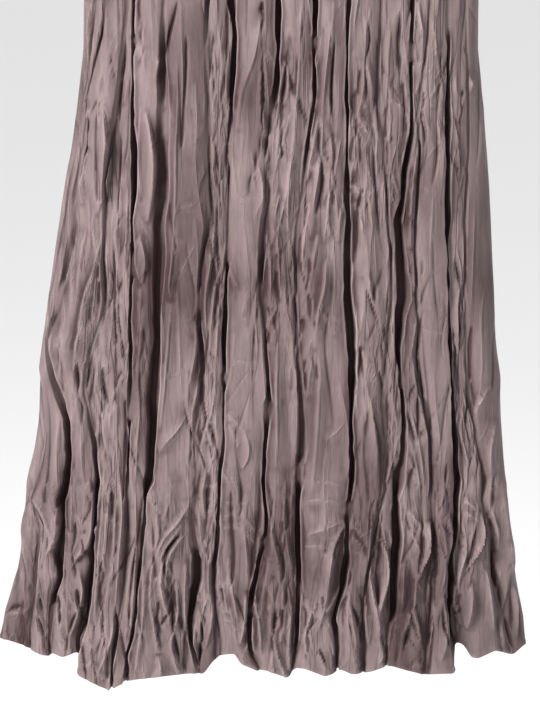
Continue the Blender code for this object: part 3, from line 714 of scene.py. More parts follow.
    (2.2, 6, 3, (369, 500), (371, 522), (368, 560), (372, 592), (378, 622), (378, 652)),
    (2.2, 8, 3, (374, 532), (385, 549), (388, 575), (381, 602), (376, 622)),
    (1.5, 3, 3, (378, 500), (382, 530), (390, 552)),
    (2.2, 5, 3, (405, 508), (415, 518), (424, 534), (428, 545)),
    (1.8, 4, 3, (408, 528), (417, 545), (421, 562)),
    (3.0, 11, 3, (429, 520), (428, 546), (421, 562), (415, 580)),
    (1.8, 5, 4, (434, 510), (441, 530), (443, 560), (438, 590)),
    (1.6, 5, 3, (447, 512), (449, 535), (444, 560)), (2.2, 4, 3, (457, 510), (468, 514), (478, 522)),
    (1.8, 3, 3, (457, 500), (468, 503), (477, 512)),
    (2.8, 10, 3, (478, 508), (480, 530), (473, 552), (462, 575)),
    (1.6, 4, 3, (461, 520), (464, 545), (458, 575), (456, 610)),
    (1.7, 4, 4, (489, 470), (487, 500), (493, 530), (496, 552)),
    (1.6, 5, 4, (497, 480), (499, 515), (505, 550), (512, 590)),
    # Rounded lobes and their twists above the hem
    (1.8, 4, 4, (32, 612), (22, 625), (10, 632), (2, 638)),
    (1.9, 5, 4, (42, 570), (40, 600), (36, 625), (40, 648)), (1.5, 5, 4, (66, 580), (72, 600), (78, 615)),
    (1.3, 3, 3, (64, 595), (68, 590), (73, 588)), (2.0, 6, 4, (80, 570), (84, 595), (78, 625), (70, 650)),
    (1.6, 5, 4, (56, 610), (60, 635), (66, 652)), (2.0, 4, 3, (102, 598), (107, 622), (100, 648)),
    (2.2, 5, 3, (117, 592), (115, 620), (104, 650), (98, 664)),
    (1.6, 3, 3, (108, 610), (110, 635), (106, 655)), (1.8, 6, 4, (85, 657), (96, 650), (108, 662)),
    (2.2, 4, 5, (123, 610), (118, 640), (112, 668), (109, 688)),
    (1.7, 5, 3, (131, 625), (128, 650), (127, 676)),
    (2.6, 4, 6, (155, 556), (152, 588), (157, 618), (160, 650)),
    (2.2, 5, 4, (167, 545), (163, 575), (168, 602), (172, 622)),
    (2.4, 5, 5, (177, 578), (179, 608), (174, 640), (181, 672)),
    (1.6, 4, 4, (187, 560), (186, 600), (188, 640)), (1.8, 6, 4, (160, 650), (163, 664), (152, 676)),
    (1.7, 4, 6, (144, 560), (146, 600), (141, 640), (136, 672)),
    (2.0, 4, 4, (200, 540), (208, 560), (210, 590), (214, 618)),
    (2.0, 5, 4, (212, 590), (205, 606), (200, 625), (203, 650)),
    (1.6, 4, 4, (196, 620), (195, 645), (199, 668)), (1.6, 4, 3, (214, 600), (212, 630), (206, 652)),
    (2.0, 4, 4, (221, 580), (226, 602), (228, 625)), (1.8, 4, 4, (229, 575), (235, 600), (239, 624)),
    (1.9, 5, 4, (246, 588), (245, 620), (240, 648)), (1.6, 5, 4, (222, 632), (232, 634), (243, 630)),
    (2.0, 4, 4, (256, 560), (254, 590), (260, 625), (262, 660)),
    (2.2, 5, 4, (270, 600), (272, 630), (280, 655), (287, 674)),
    (1.8, 4, 4, (282, 580), (284, 615), (280, 640)), (1.8, 5, 3, (292, 600), (289, 635), (290, 668)),
    (2.4, 4, 7, (316, 600), (308, 620), (304, 642), (309, 662)),
    (2.2, 4, 4, (345, 574), (331, 598), (316, 618), (305, 638)),
    (2.2, 5, 4, (318, 650), (326, 662), (333, 673)), (1.8, 5, 4, (326, 605), (330, 632), (334, 655)),
    (2.0, 4, 5, (345, 580), (350, 610), (357, 650)), (1.7, 4, 4, (366, 580), (364, 612), (368, 645)),
    (1.7, 4, 4, (346, 640), (352, 655), (362, 664)), (1.7, 5, 4, (378, 640), (382, 655), (376, 668)),
    (2.0, 4, 5, (403, 560), (400, 600), (397, 630)),
    (2.8, 6, 5, (409, 600), (417, 630), (420, 655), (411, 668)),
    (2.0, 4, 5, (414, 575), (412, 600), (404, 625), (396, 650)),
    (1.7, 5, 4, (428, 580), (431, 612), (428, 640)), (1.7, 6, 4, (440, 590), (444, 620), (438, 655)),
    (1.7, 3, 5, (454, 590), (453, 620), (460, 642)), (1.8, 6, 5, (470, 585), (468, 612), (466, 636)),
    (1.6, 6, 5, (484, 570), (488, 605), (494, 640)), (1.6, 5, 4, (512, 590), (514, 618), (516, 644)),
    # Thin dark folds, upper part
    (-2.2, 2.5, 2.5, (262, 0), (262, 20), (261, 34)),
    (-2.0, 3, 3, (178, 0), (174, 18), (168, 42), (165, 70)),
    (-1.4, 2.5, 2.5, (127, 30), (125, 60), (121, 90), (118, 140)),
    (-1.6, 2.2, 2.2, (262, 40), (262, 90), (261, 130), (259, 160)),
    (-2.0, 3, 3, (272, 110), (268, 135), (265, 160)),
    (-1.6, 2.2, 2.2, (227, 0), (227, 40), (225, 75), (222, 100)),
    (-1.6, 2.2, 2.2, (232, 40), (231, 70), (228, 96)), (-1.2, 2.5, 2.5, (214, 30), (211, 60), (208, 90)),
    (-1.8, 3, 3, (210, 132), (216, 150), (219, 172), (216, 188)),
    (-1.6, 2.5, 2.5, (231, 120), (227, 150), (228, 185)),
    (-2.2, 3, 5, (90, 115), (86, 140), (85, 165), (87, 180)),
    (-1.6, 3, 3, (334, 40), (331, 80), (331, 120), (334, 152)),
    (-1.3, 2.5, 2.5, (303, 20), (298, 60), (295, 100)), (-1.6, 2.5, 2.5, (400, 10), (398, 50), (399, 80)),
    (-1.4, 2.5, 2.5, (376, 120), (374, 160), (376, 200), (379, 235)),
    (-2.0, 3, 3, (386, 110), (384, 150), (387, 200), (388, 240)),
    # Thin dark folds, middle part
    (-1.8, 3, 3, (90, 345), (88, 375), (84, 395)),
    (-1.8, 3, 4, (97, 320), (99, 350), (104, 390), (112, 410)),
    (-1.8, 2.5, 2.5, (115, 245), (115, 290), (116, 330), (117, 370)),
    (-1.8, 2.5, 3, (226, 262), (219, 290), (213, 320)),
    (-1.8, 3, 3, (205, 375), (203, 400), (206, 420), (200, 440), (196, 460)),
    (-2.2, 2.5, 2.5, (294, 290), (296, 325), (294, 356)), (-1.8, 2.5, 3, (303, 315), (301, 330), (297, 348)),
    (-1.6, 3, 3, (308, 350), (304, 370), (306, 392)),
    (-1.8, 3, 3, (365, 288), (371, 305), (379, 330), (382, 360)),
    (-1.6, 2.5, 2.5, (384, 340), (389, 360), (392, 376)), (-1.8, 3, 3, (378, 370), (385, 400), (389, 440)),
    (-1.2, 3, 3, (421, 308), (417, 340), (416, 362), (422, 395), (427, 428)),
    (-1.6, 2.5, 2.5, (405, 410), (410, 425), (414, 442)),
    (-1.4, 2.2, 2.2, (410, 406), (414, 422), (419, 438)), (-1.8, 3, 3, (454, 258), (460, 290), (462, 318)),
    (-1.6, 2.5, 2.5, (453, 330), (455, 370), (457, 402)),
    (-1.6, 2.2, 2.2, (459, 400), (466, 430), (473, 456)), (-1.5, 3, 8, (470, 325), (468, 375), (471, 418)),
    # Thin dark folds, lower part
    (-2.4, 4, 4, (33, 494), (41, 515), (44, 540), (42, 562)), (-1.8, 3, 3, (2, 634), (14, 624), (28, 614)),
    (-1.8, 3, 3, (34, 612), (38, 632), (43, 650)), (-1.4, 2.5, 2.5, (56, 600), (59, 620), (60, 642)),
    (-1.6, 2.5, 2.5, (79, 518), (76, 540), (74, 553)), (-2.2, 3, 3, (103, 588), (105, 610), (108, 632)),
    (-2.0, 3, 3, (116, 598), (119, 620), (117, 642)), (-1.6, 2.5, 2.5, (99, 598), (97, 622), (98, 642)),
    (-1.8, 2.5, 2.5, (152, 572), (153, 595), (160, 622)), (-2.0, 3, 3, (176, 586), (174, 602), (162, 621)),
    (-1.8, 3, 3, (177, 610), (175, 635), (181, 657)),
    (-2.2, 3, 4, (180, 531), (168, 547), (165, 562), (171, 584)),
    (-1.8, 3, 3, (202, 614), (202, 640), (199, 665)), (-2.0, 3, 3, (278, 603), (273, 628), (272, 652)),
    (-1.6, 2.5, 2.5, (287, 588), (283, 608), (282, 634)), (-1.8, 3, 3, (319, 647), (325, 660), (333, 673)),
    (-1.6, 2.5, 2.5, (349, 598), (356, 618), (361, 642)),
    (-1.8, 2.5, 2.5, (407, 624), (404, 640), (400, 653)), (-1.5, 3, 3, (440, 598), (441, 620), (447, 642)),
    (-2.4, 3, 4, (489, 533), (493, 560), (496, 586), (503, 614)),
    (-1.2, 2.2, 2.2, (505, 618), (510, 636), (515, 652)),
))

FRONT_KNOTS: tuple[Knot, ...] = tuple(Knot(*spot) for spot in (
    # Upper left
    (114, 66, 22, 35, 3, 4), (102, 98, 30, 35, 2, 4), (143, 44, 24, 18, 3, 2), (163, 84, 26, 20, 3, 3),
    (164, 122, 28, 16, 3, 4), (222, 92, 34, 16, 6, 3), (218, 124, 40, 20, 3, 7), (230, 106, 26, 14, 4, 3),
    (221, 196, 30, 12, 5, 3), (277, 112, 34, 26, 3, 5), (267, 192, 36, 30, 5, 3), (255, 168, 26, 18, 2, 4),
    # Upper right
    (304, 190, 34, 30, 4, 3), (331, 168, 40, 22, 3, 7), (312, 104, 30, 14, 2, 4), (373, 118, 32, 34, 5, 3),
    (353, 114, 50, 22, 2, 5), (365, 56, 44, 12, 3, 4), (367, 200, 28, 50, 3, 3), (386, 154, 36, 24, 4, 6),
    (404, 86, 40, 10, 5, 3), (389, 100, 40, 30, 2, 4), (421, 108, 34, 34, 3, 4), (421, 75, 40, 14, 5, 3),
    (440, 82, 30, 22, 4, 2), (459, 103, 26, 16, 2, 3),
    # Middle left
    (117, 305, 34, 26, 4, 5), (102, 338, 40, 18, 3, 5), (60, 350, 36, 22, 3, 4), (78, 396, 44, 16, 3, 4),
    (102, 428, 40, 22, 4, 4), (122, 372, 34, 16, 3, 4), (141, 372, 40, 10, 3, 3), (207, 366, 50, 16, 3, 6),
    (221, 288, 40, 18, 4, 5), (196, 436, 46, 18, 4, 4), (214, 462, 34, 40, 4, 4), (256, 278, 26, 20, 1, 3),
    (268, 330, 30, 14, 3, 2),
    # Middle right
    (278, 308, 40, 20, 3, 5), (296, 360, 50, 16, 5, 3), (308, 292, 34, 18, 3, 4), (315, 348, 36, 26, 1, 5),
    (360, 348, 52, 26, 1, 6), (374, 305, 40, 20, 2, 4), (382, 326, 50, 12, 3, 6), (392, 376, 46, 16, 5, 5),
    (390, 440, 36, 14, 4, 3), (404, 408, 50, 20, 2, 6), (412, 468, 30, 18, 3, 2), (417, 290, 34, 10, 3, 3),
    (461, 318, 50, 12, 5, 3), (458, 398, 50, 14, 3, 6), (474, 455, 40, 26, 3, 4),
    # Lower left
    (33, 494, 30, 34, 2, 4), (48, 552, 36, 28, 4, 4), (74, 554, 40, 26, 5, 3), (66, 590, 30, 20, 3, 4),
    (26, 606, 40, 16, 4, 2), (36, 614, 30, 16, 2, 3), (97, 652, 46, 16, 6, 2), (112, 478, 44, 10, 4, 5),
    (103, 588, 40, 14, 3, 5), (131, 616, 34, 20, 3, 4), (156, 548, 50, 26, 5, 3), (170, 588, 40, 18, 5, 3),
    (161, 622, 36, 20, 3, 3), (192, 498, 40, 30, 2, 5), (213, 514, 30, 40, 4, 4), (208, 546, 34, 18, 2, 4),
    (201, 600, 44, 14, 3, 5), (222, 592, 40, 22, 1, 5), (260, 556, 34, 18, 4, 2),
    # Lower right
    (272, 508, 34, 34, 5, 2), (283, 545, 40, 14, 4, 3), (293, 568, 40, 12, 3, 4), (277, 606, 40, 16, 3, 4),
    (344, 528, 46, 40, 0, 4), (307, 636, 36, 30, 4, 3), (352, 528, 30, 60, 1, 5), (348, 592, 44, 14, 3, 4),
    (360, 612, 34, 20, 4, 3), (376, 498, 44, 14, 5, 4), (374, 540, 36, 20, 3, 4), (383, 656, 30, 46, 4, 1),
    (397, 632, 44, 12, 5, 1), (405, 508, 50, 34, 1, 5), (411, 602, 40, 26, 1, 4), (418, 658, 44, 16, 4, 0),
    (430, 580, 34, 20, 4, 3), (443, 486, 30, 30, 3, 5), (443, 590, 44, 12, 3, 4), (455, 634, 46, 12, 6, 0),
    (460, 504, 40, 50, 2, 5), (468, 552, 44, 14, 4, 4), (488, 512, 44, 14, 4, 4), (503, 618, 60, 10, 4, 2),
))

BACK_GAPS: tuple[Gap, ...] = tuple(Gap(rows) for rows in (
    ((-250, -172, 3, 7), (-420, -196, 5, 9), (-567, -212, 4, 9), (-760, -236, 7, 12), (-903, -258, 6, 9)),
    ((-250, -150, 6, 12), (-400, -171, 8, 14), (-567, -186, 5, 12), (-740, -200, 10, 17),
     (-903, -221, 8, 12)),
    ((-250, -128, 4, 10), (-380, -138, 3, 8), (-567, -152, 8, 14), (-720, -166, 6, 12),
     (-903, -190, 10, 14)),
    ((-250, -98, 9, 16), (-440, -115, 12, 19), (-567, -124, 6, 12), (-780, -137, 9, 18),
     (-903, -152, 6, 14)),
    ((-250, -73, 4, 9), (-360, -76, 7, 13), (-567, -88, 11, 18), (-700, -97, 4, 9), (-903, -112, 8, 14)),
    ((-250, -43, 8, 15), (-470, -57, 4, 9), (-567, -60, 6, 12), (-730, -70, 12, 19), (-903, -84, 6, 14)),
    ((-250, -20, 5, 10), (-400, -24, 9, 16), (-567, -24, 7, 13), (-700, -33, 5, 10), (-903, -41, 10, 17)),
    ((-250, 14, 8, 16), (-390, 8, 5, 11), (-567, 3, 10, 18), (-760, -1, 6, 12), (-903, -6, 7, 13)),
    ((-250, 38, 3, 7), (-430, 40, 8, 14), (-567, 37, 5, 10), (-720, 33, 9, 17), (-903, 30, 9, 15)),
    ((-250, 66, 9, 17), (-410, 68, 5, 10), (-567, 66, 8, 15), (-740, 60, 5, 11), (-903, 57, 6, 12)),
    ((-250, 92, 5, 9), (-370, 98, 10, 17), (-567, 104, 6, 13), (-750, 100, 11, 19), (-903, 97, 8, 16)),
    ((-250, 120, 8, 14), (-440, 127, 4, 9), (-567, 132, 9, 16), (-700, 133, 5, 10), (-903, 130, 9, 14)),
    ((-250, 142, 4, 9), (-400, 150, 7, 14), (-567, 158, 5, 10), (-770, 167, 9, 16), (-903, 172, 7, 13)),
    ((-250, 167, 4, 7), (-420, 176, 5, 9), (-567, 185, 6, 9), (-740, 200, 5, 8), (-903, 212, 7, 10)),
))

BACK_PLEATS: tuple[Pleat, ...] = tuple(Pleat(rows) for rows in (
    ((-250, 0, 1, 1, 0.4), (-567, 0, 2, 3, 0.5), (-900, -4, -4, 5, 0.7)),
    ((-250, 3, 2, 1, 0.6), (-567, 3, 5, 2, 0.6), (-900, -2, 2, 6, 0.7)),
    ((-250, 4, 5, 2, 0.8), (-567, 5, 3, 2, 0.9), (-900, 4, 8, 5, 0.8)),
    ((-250, 6, 5, 3, 0.3), (-567, 6, 6, 3, 0.3), (-900, 14, 12, 6, 0.6)),
    ((-250, 4, 3, 1, 0.9), (-567, 5, 8, 2, 0.7), (-900, 14, 15, 6, 0.7)),
    ((-250, 5, 7, 3, 0.4), (-567, 7, 5, 3, 0.3), (-900, 13, 11, 6, 0.6)),
    ((-250, 3, 4, 1, 0.9), (-567, 5, 6, 2, 0.9), (-900, 12, 15, 6, 0.8)),
    ((-250, 7, 6, 3, 0.25), (-567, 7, 6, 3, 0.3), (-900, 14, 12, 6, 0.5)),
    ((-250, 4, 3, 2, 0.9), (-567, 5, 8, 2, 0.6), (-900, 14, 15, 6, 0.8)),
    ((-250, 5, 7, 3, 0.5), (-567, 7, 5, 3, 0.3), (-900, 13, 11, 7, 0.6)),
    ((-250, 4, 5, 1, 0.9), (-567, 5, 6, 2, 0.8), (-900, 13, 14, 6, 0.7)),
    ((-250, 6, 5, 2, 0.4), (-567, 6, 5, 3, 0.4), (-900, 13, 12, 6, 0.6)),
    ((-250, 3, 4, 1, 0.8), (-567, 3, 5, 2, 0.8), (-900, 8, 6, 5, 0.7)),
    ((-250, 3, 3, 2, 0.4), (-567, 4, 2, 3, 0.5), (-900, -1, -2, 5, 0.6)),
    ((-250, 2, 0, 1, 0.4), (-567, 2, 0, 3, 0.4), (-900, -3, -3, 5, 0.5)),
))


# ----- Meshes -----


def new_piece(name: str, points: Points, faces: list[Face], finish: Finish) -> bpy.types.Object:
    """Makes one smooth mesh object and dresses it.

    Args:
        name: the piece's name.
        points: its corners in mm.
        faces: corner numbers, a tuple for each face.
        finish: its material.

    Returns:
        The object, in the scene.
    """
    mesh = bpy.data.meshes.new(name)
    mesh.from_pydata((points * MM).tolist(), [], faces)
    mesh.shade_smooth()
    mesh.materials.append(finish.material())
    piece = bpy.data.objects.new(name, mesh)
    bpy.context.scene.collection.objects.link(piece)
    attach(piece, "root")
    LOG.info("%s: %d points, %d faces", name, len(points), len(faces))
    return piece


def set_values(piece: bpy.types.Object, label: str, values: Points) -> None:
    """Stores one number for each of a piece's points, for its material to read."""
    attribute = piece.data.attributes.new(label, "FLOAT", "POINT")
    attribute.data.foreach_set("value", values.ravel())


def grid_faces(rows: int, columns: int, flip: bool, closed: bool = False) -> list[Face]:
    """Quads over a grid of points that is stored row by row.

    Args:
        rows: how many rows of points.
        columns: how many points a row has.
        flip: turns the faces over.
        closed: joins each row's last point to its first.

    Returns:
        Corner numbers of each quad.
    """
    first = np.arange(rows - 1)[:, None] * columns
    across = np.arange(columns if closed else columns - 1)[None, :]
    beside = (across + 1) % columns
    corners = [first + across, first + beside, first + columns + beside, first + columns + across]
    if flip:
        corners.reverse()
    return [tuple(quad) for quad in np.stack([np.ravel(corner) for corner in corners], axis=1).tolist()]


def lie_beside(at_x: Points, at_z: Points, route_x: Points, route_z: Points) -> tuple[Points, Points, Points]:
    """How points lie beside a line.

    Args:
        at_x: the points' x in mm.
        at_z: the points' z in mm.
        route_x: the line's x in mm.
        route_z: the line's z in mm.

    Returns:
        Their distance from it in mm, a number that is over zero right of a line that runs down, and the share
        of its length that comes before them.
    """
    steps = np.hypot(np.diff(route_x), np.diff(route_z))
    ends = np.concatenate([[0.0], np.cumsum(steps)])
    best = np.full(len(at_x), 1e9)
    side = np.zeros(len(at_x))
    passed = np.zeros(len(at_x))
    for part, step in enumerate(steps):
        way_x = (route_x[part + 1] - route_x[part]) / step
        way_z = (route_z[part + 1] - route_z[part]) / step
        off_x = at_x - route_x[part]
        off_z = at_z - route_z[part]
        walked = np.clip(off_x * way_x + off_z * way_z, 0.0, step)
        away = np.hypot(off_x - walked * way_x, off_z - walked * way_z)
        closer = away < best
        best = np.where(closer, away, best)
        side = np.where(closer, way_x * off_z - way_z * off_x, side)
        passed = np.where(closer, ends[part] + walked, passed)
    return best, side, np.clip(passed / ends[-1], 0.0, 1.0)


@dataclass
class FoldMap:
    """Folds that are raised one by one on the sheet; between them the cloth spans from each to the next.

    x and z are the points' places on the plain tube in mm. calm_weight is how fast a far fold lets go of the
    cloth, blunt is how round crests are and margin is how far a fold is felt. Each array has a value for
    every point: placed is how near it is to a fold, line_way and line_next how far it is from the nearest
    fold's line and from the next one, and line_share how strong that line is.
    """

    x: Points
    z: Points
    open_share: Points
    calm_weight: float = 0.16
    crest_reach: float = 5.0
    blunt: float = 0.7
    margin: float = 22.0
    line_reach: float = 3.0
    line_apart: float = 2.2
    far_away: float = 9.0
    weight: Points = field(init=False)
    total: Points = field(init=False)
    placed: Points = field(init=False)
    line_way: Points = field(init=False)
    line_next: Points = field(init=False)
    line_share: Points = field(init=False)

    def __post_init__(self) -> None:
        """Starts with cloth that has no folds."""
        shape = self.x.shape
        self.weight = np.full(shape, self.calm_weight)
        self.total = np.zeros(shape)
        self.placed = np.zeros(shape)
        self.line_way = np.full(shape, self.far_away)
        self.line_next = np.full(shape, self.far_away)
        self.line_share = np.zeros(shape)

    def heights(self, lift: Points) -> Points:
        """How high each point stands in mm, where lift is the height of a rise of 1."""
        return lift * self.total / self.weight

    def line_strength(self) -> Points:
        """How strong the nearest line is at each point, and none half way to another line."""
        return self.line_share * np.clip((self.line_next - np.abs(self.line_way)) / self.line_apart, 0, 1)

    def raise_line(self, route: tuple[Points, Points], rise: float, reach: tuple[float, float],
                   pinch: bool = False) -> None:
        """Raises the sheet along a line, or sinks it where rise is under zero.

        Args:
            route: the line's x and z in mm.
            rise: its height, as a share of crease_lift.
            reach: how far its left and right slopes reach in mm.
            pinch: makes it stand highest near its start.
        """
        route_x, route_z = route
        margin = self.margin
        near = (self.x > route_x.min() - margin) & (self.x < route_x.max() + margin)
        near &= (self.z > route_z.min() - margin) & (self.z < route_z.max() + margin)
        if not near.any():
            return
        best, side, share = lie_beside(self.x[near], self.z[near], route_x, route_z)
        run = np.abs(np.diff(route_z)).sum()
        upright = run / (run + np.abs(np.diff(route_x)).sum())
        fade = 1.6 * share**0.3 * (1 - share) ** 0.9 if pinch else np.sin(np.pi * share) ** 0.6
        away = np.hypot(best, self.blunt) * self.crest_reach / np.where(side > 0, reach[1], reach[0])
        fall = np.maximum(away - 0.5 + 2.4 * (1 - upright), 0.3) ** 1.15
        weight = np.minimum(fade, 1.0) * np.clip(1 - best / margin, 0.0, 1.0) ** 2 / fall
        self.weight[near] += weight
        self.total[near] += weight * rise * fade * (0.25 + 0.75 * upright)
        self.placed[near] = np.maximum(self.placed[near], ease(best, 13.0, 3.0))
        # The fold's line is relief, and is also painted into the colour as a highlight on a ridge or shadow
        # in a trough.
        strength = min(1.0, 0.3 + 0.3 * abs(rise)) * (0.45 + 0.55 * upright) * math.copysign(1.0, rise)
        line = fade * np.clip(1.6 - best / self.line_reach, 0.0, 1.0) * strength
        known = np.abs(self.line_way[near])
        nearer = best < known
        rightward = side if route_z[-1] < route_z[0] else -side
        self.line_next[near] = np.where(nearer, known, np.minimum(self.line_next[near], best))
        self.line_way[near] = np.where(nearer, np.where(rightward > 0, best, -best), self.line_way[near])
        self.line_share[near] = np.where(nearer, line * (1 - self.open_share[near]), self.line_share[near])


class Strip(NamedTuple):
    """Columns of a sheet's points, over one pleat or one gap, with a row for each height.

    along and stand place the points, along the tube's line and out of it in mm. open_share is how far down a
    gap's wall they are, crush how crumpled the cloth is and edge how much painted highlight its edge gets,
    from
    0 to 1. pleat_of is their pleat's number, and down_gap is how deep in a gap they lie in mm.
    """

    along: Points
    stand: Points
    open_share: Points
    crush: Points
    pleat_of: Points
    down_gap: Points
    edge: Points


class GapEdges(NamedTuple):
    """A panel's gaps in mm, with a row for each height and a column for each gap.

    calm is 1 at a deep gap and 0 at a mere dent. rims is how far pleats' edges stand proud beside each gap,
    with a bare column first and last. roll is how far the pleat on the left bends down to the gap, and
    roll_reach the share of its width that does.
    """

    left: Points
    right: Points
    depth: Points
    calm: Points
    rims: Points
    roll: Points
    roll_reach: Points


@dataclass
class CrinkledPanel:
    """The front or the back of the skirt: one sheet of satin, folded into uneven pleats and crumpled."""

    name: str
    node: str
    side: Side
    tube: Tube
    gaps: tuple[Gap, ...]
    pleats: tuple[Pleat, ...]
    creases: tuple[Crease, ...]
    knots: tuple[Knot, ...]
    hem: tuple[Route, ...]
    view: ViewPoint
    finish: Finish
    seed: int
    meets: CrinkledPanel | None = None
    bottom: float = -938.0
    pitch: float = 1.6
    band_top: float = 19.0
    gather_share: float = 0.35
    full_fold: float = -170.0
    front_depth: float = -56.0
    undercut: float = 1.6
    rim: float = 2.2
    rim_reach: float = 1.7
    least_gap: float = 0.8
    least_pleat: float = 2.6
    crease_lift: float = 4.4
    crushed_band: float = -752.0
    crinkles: int = 300
    mirror_x: float = -24.0
    row_steps: Table = ((-13.0, 13.0), (-249.0, 4.5), (-700.0, 3.3), (-938.0, 3.3))
    wall_depth: tuple[float, ...] = (0, 0.12, 0.64, 1, 0.62, 0.13, 0)
    wall_reach: tuple[float, ...] = (0, 0.09, 0.26, 0.5, 0.75, 0.92, 1)
    heights: Points = field(init=False)
    lines: list[TubeLine] = field(init=False)
    let_out: Points = field(init=False)
    folds: FoldMap = field(init=False)
    along: Points = field(init=False)
    stand: Points = field(init=False)
    open_share: Points = field(init=False)
    crush: Points = field(init=False)
    pleat_of: Points = field(init=False)
    down_gap: Points = field(init=False)
    edge: Points = field(init=False)
    points: Points = field(init=False)
    drop: Points = field(init=False)
    looks: dict[str, Points] = field(init=False)

    def to_panel(self, across: Points, down: Points) -> tuple[Points, Points]:
        """x and z in mm of places on the front that are read off the view."""
        x, z = self.view.meet(across, down, self.front_depth)
        for _ in range(3):
            x, z = self.view.meet(across, down, self.tube.front_y(x, z) - 6.0)
        return x, z

    def mirrored(self, x: Points) -> Points:
        """x on this panel of a place on the front."""
        return self.mirror_x - x if self.side is Side.BACK else x

    def inland(self) -> Points:
        """How far each point is from the nearer side seam, in mm."""
        return np.minimum(self.along, self.along[:, -1:] - self.along)

    def lay_rows(self) -> None:
        """Sets the heights of the mesh's rows, closer together lower down, and the tube's line at each."""
        parts = []
        for (start, step), (end, _) in zip(self.row_steps, self.row_steps[1:]):
            count = max(1, round((start - end) / step))
            parts.append(np.linspace(start, end, count, endpoint=False))
        self.heights = np.concatenate([*parts, [self.bottom]])
        self.lines = [TubeLine(self.tube, self.side, z) for z in self.heights]
        self.let_out = np.interp(-self.heights, [self.band_top, -self.full_fold], [self.gather_share, 1.0])

    def gap_line(self, gap: Gap) -> tuple[Points, Points, Points]:
        """Where a gap's middle runs, its width and its depth, in mm at each row."""
        table = np.array(gap.rows, float)
        if self.side is Side.FRONT:
            table[:, 1], table[:, 0] = self.to_panel(table[:, 1], table[:, 0])
        x, width, depth = read_table(table, self.heights)
        top_z, top_x = table[0, :2]
        pinch = ease(Wander(900 * self.seed + int(top_x)).along(self.heights, 34.0, 1.0), 0.1, 0.75)
        depth = depth * (1.0 - 0.7 * pinch * (1.0 - ease(depth, 14.0, 18.0)))
        depth = depth * (0.28 + 0.72 * ease(depth, 7.0, 15.0)) * (1.0 - 0.3 * ease(width, 8.0, 15.0))
        width = 0.8 * width + 1.4 - 1.4 * ease(depth, 5.0, 12.0)
        top = self.tube.ring_at(top_z)
        share = (top_x - top.left) / (top.right - top.left)
        ring = self.tube.ring_at(self.heights)
        x = np.where(self.heights > top_z, ring.left + share * (ring.right - ring.left), x)
        along = np.array([line.distance_of(at) for line, at in zip(self.lines, x)])
        return along, width * (0.45 + 0.55 * self.let_out), depth * self.let_out

    def pleat_line(self, pleat: Pleat) -> Points:
        """A pleat's stand at both edges, its crown and its crush, at each row."""
        table = np.array(pleat.rows, float)
        if self.side is Side.FRONT:
            table[:, 0] = self.view.meet(self.view.frame_width / 2, table[:, 0], self.front_depth)[1]
        values = read_table(table, self.heights)
        values[:3] *= self.let_out
        return values

    def settle(self, left: Points, right: Points, length: float) -> None:
        """Moves one row's gaps apart until each pleat between them keeps its least width.

        Args:
            left: the gaps' left edges in mm, changed here.
            right: the gaps' right edges in mm, changed here.
            length: the row's length in mm.
        """
        for number in range(len(left)):
            floor = self.least_pleat + (right[number - 1] if number else 0.0)
            shift = max(0.0, floor - left[number])
            left[number] += shift
            right[number] += shift
        for number in range(len(left) - 1, -1, -1):
            limit = (left[number + 1] if number + 1 < len(left) else length) - self.least_pleat
            shift = max(0.0, right[number] - limit)
            left[number] -= shift
            right[number] -= shift

    def gap_edges(self) -> GapEdges:
        """Works out where the edges of the gaps run, with their straying.

        Returns:
            The gaps' edges.
        """
        lines = zip(*(self.gap_line(gap) for gap in self.gaps))
        middle, width, depth = (np.stack(part, axis=1) for part in lines)
        chance = Wander(self.seed)
        count = len(self.gaps)
        calm = ease(depth, 3.0, 12.0)
        stray = [chance.columns(self.heights, 30.0, 1.4, count) for _ in range(2)]
        fine = [chance.columns(self.heights, 12.0, 0.8, count) for _ in range(2)]
        left = middle - width / 2 + (stray[0] + fine[0]) * (0.4 + 0.6 * calm)
        right = middle + width / 2 + (stray[1] + fine[1]) * (0.4 + 0.6 * calm)
        right = np.maximum(right, left + self.least_gap)
        for row, line in enumerate(self.lines):
            self.settle(left[row], right[row], line.length)
        bare = np.zeros((len(self.heights), 1))
        rims = np.concatenate([bare, calm * self.rim, bare], axis=1)
        roll = (0.05 + chance.columns(self.heights, 55.0, 0.05, count)) * calm * depth
        roll_reach = 0.2 + chance.columns(self.heights, 45.0, 0.1, count)
        return GapEdges(left, right, depth, calm, rims, roll, roll_reach)

    def pleat_strip(self, number: int, edges: GapEdges, stands: list[Points]) -> Strip:
        """Lays the columns over one pleat.

        Args:
            number: the pleat's number.
            edges: the gaps' edges.
            stands: each pleat's stand, crown and crush.

        Returns:
            The pleat's columns.
        """
        low, high, crown, crushed = (part[:, None] for part in stands[number])
        first = number == 0
        last = number == len(self.gaps)
        lengths = np.array([[line.length] for line in self.lines])
        start = np.zeros_like(low) if first else edges.right[:, [number - 1]]
        end = lengths if last else edges.left[:, [number]]
        count = max(3, int(np.max(end - start) / self.pitch))
        share = (np.arange(0 if first else 1, count + (2 if last else 1)) / (count + 1))[None, :]
        place = start + (end - start) * share
        swell = 1 - np.abs(2 * share - 1) ** 2.4
        if first:
            low = low * 0
            swell = swell * ease(share, 0.0, 0.25)
        if last:
            high = high * 0
            swell = swell * ease(1 - share, 0.0, 0.25)
        rise = low * (1 - share) + high * share + crown * swell
        if not last:
            bend = ease(share, 1.0 - edges.roll_reach[:, [number]], 1.0) ** 1.3
            rise = rise - edges.roll[:, [number]] * bend
            rise = rise + 0.6 * (bell(end - place, self.rim_reach) * edges.rims[:, [number + 1]])
        rise = rise + bell(place - start, self.rim_reach) * edges.rims[:, [number]]
        none = np.zeros_like(place)
        return Strip(place, rise, none, crushed + none, none + number, none, none)

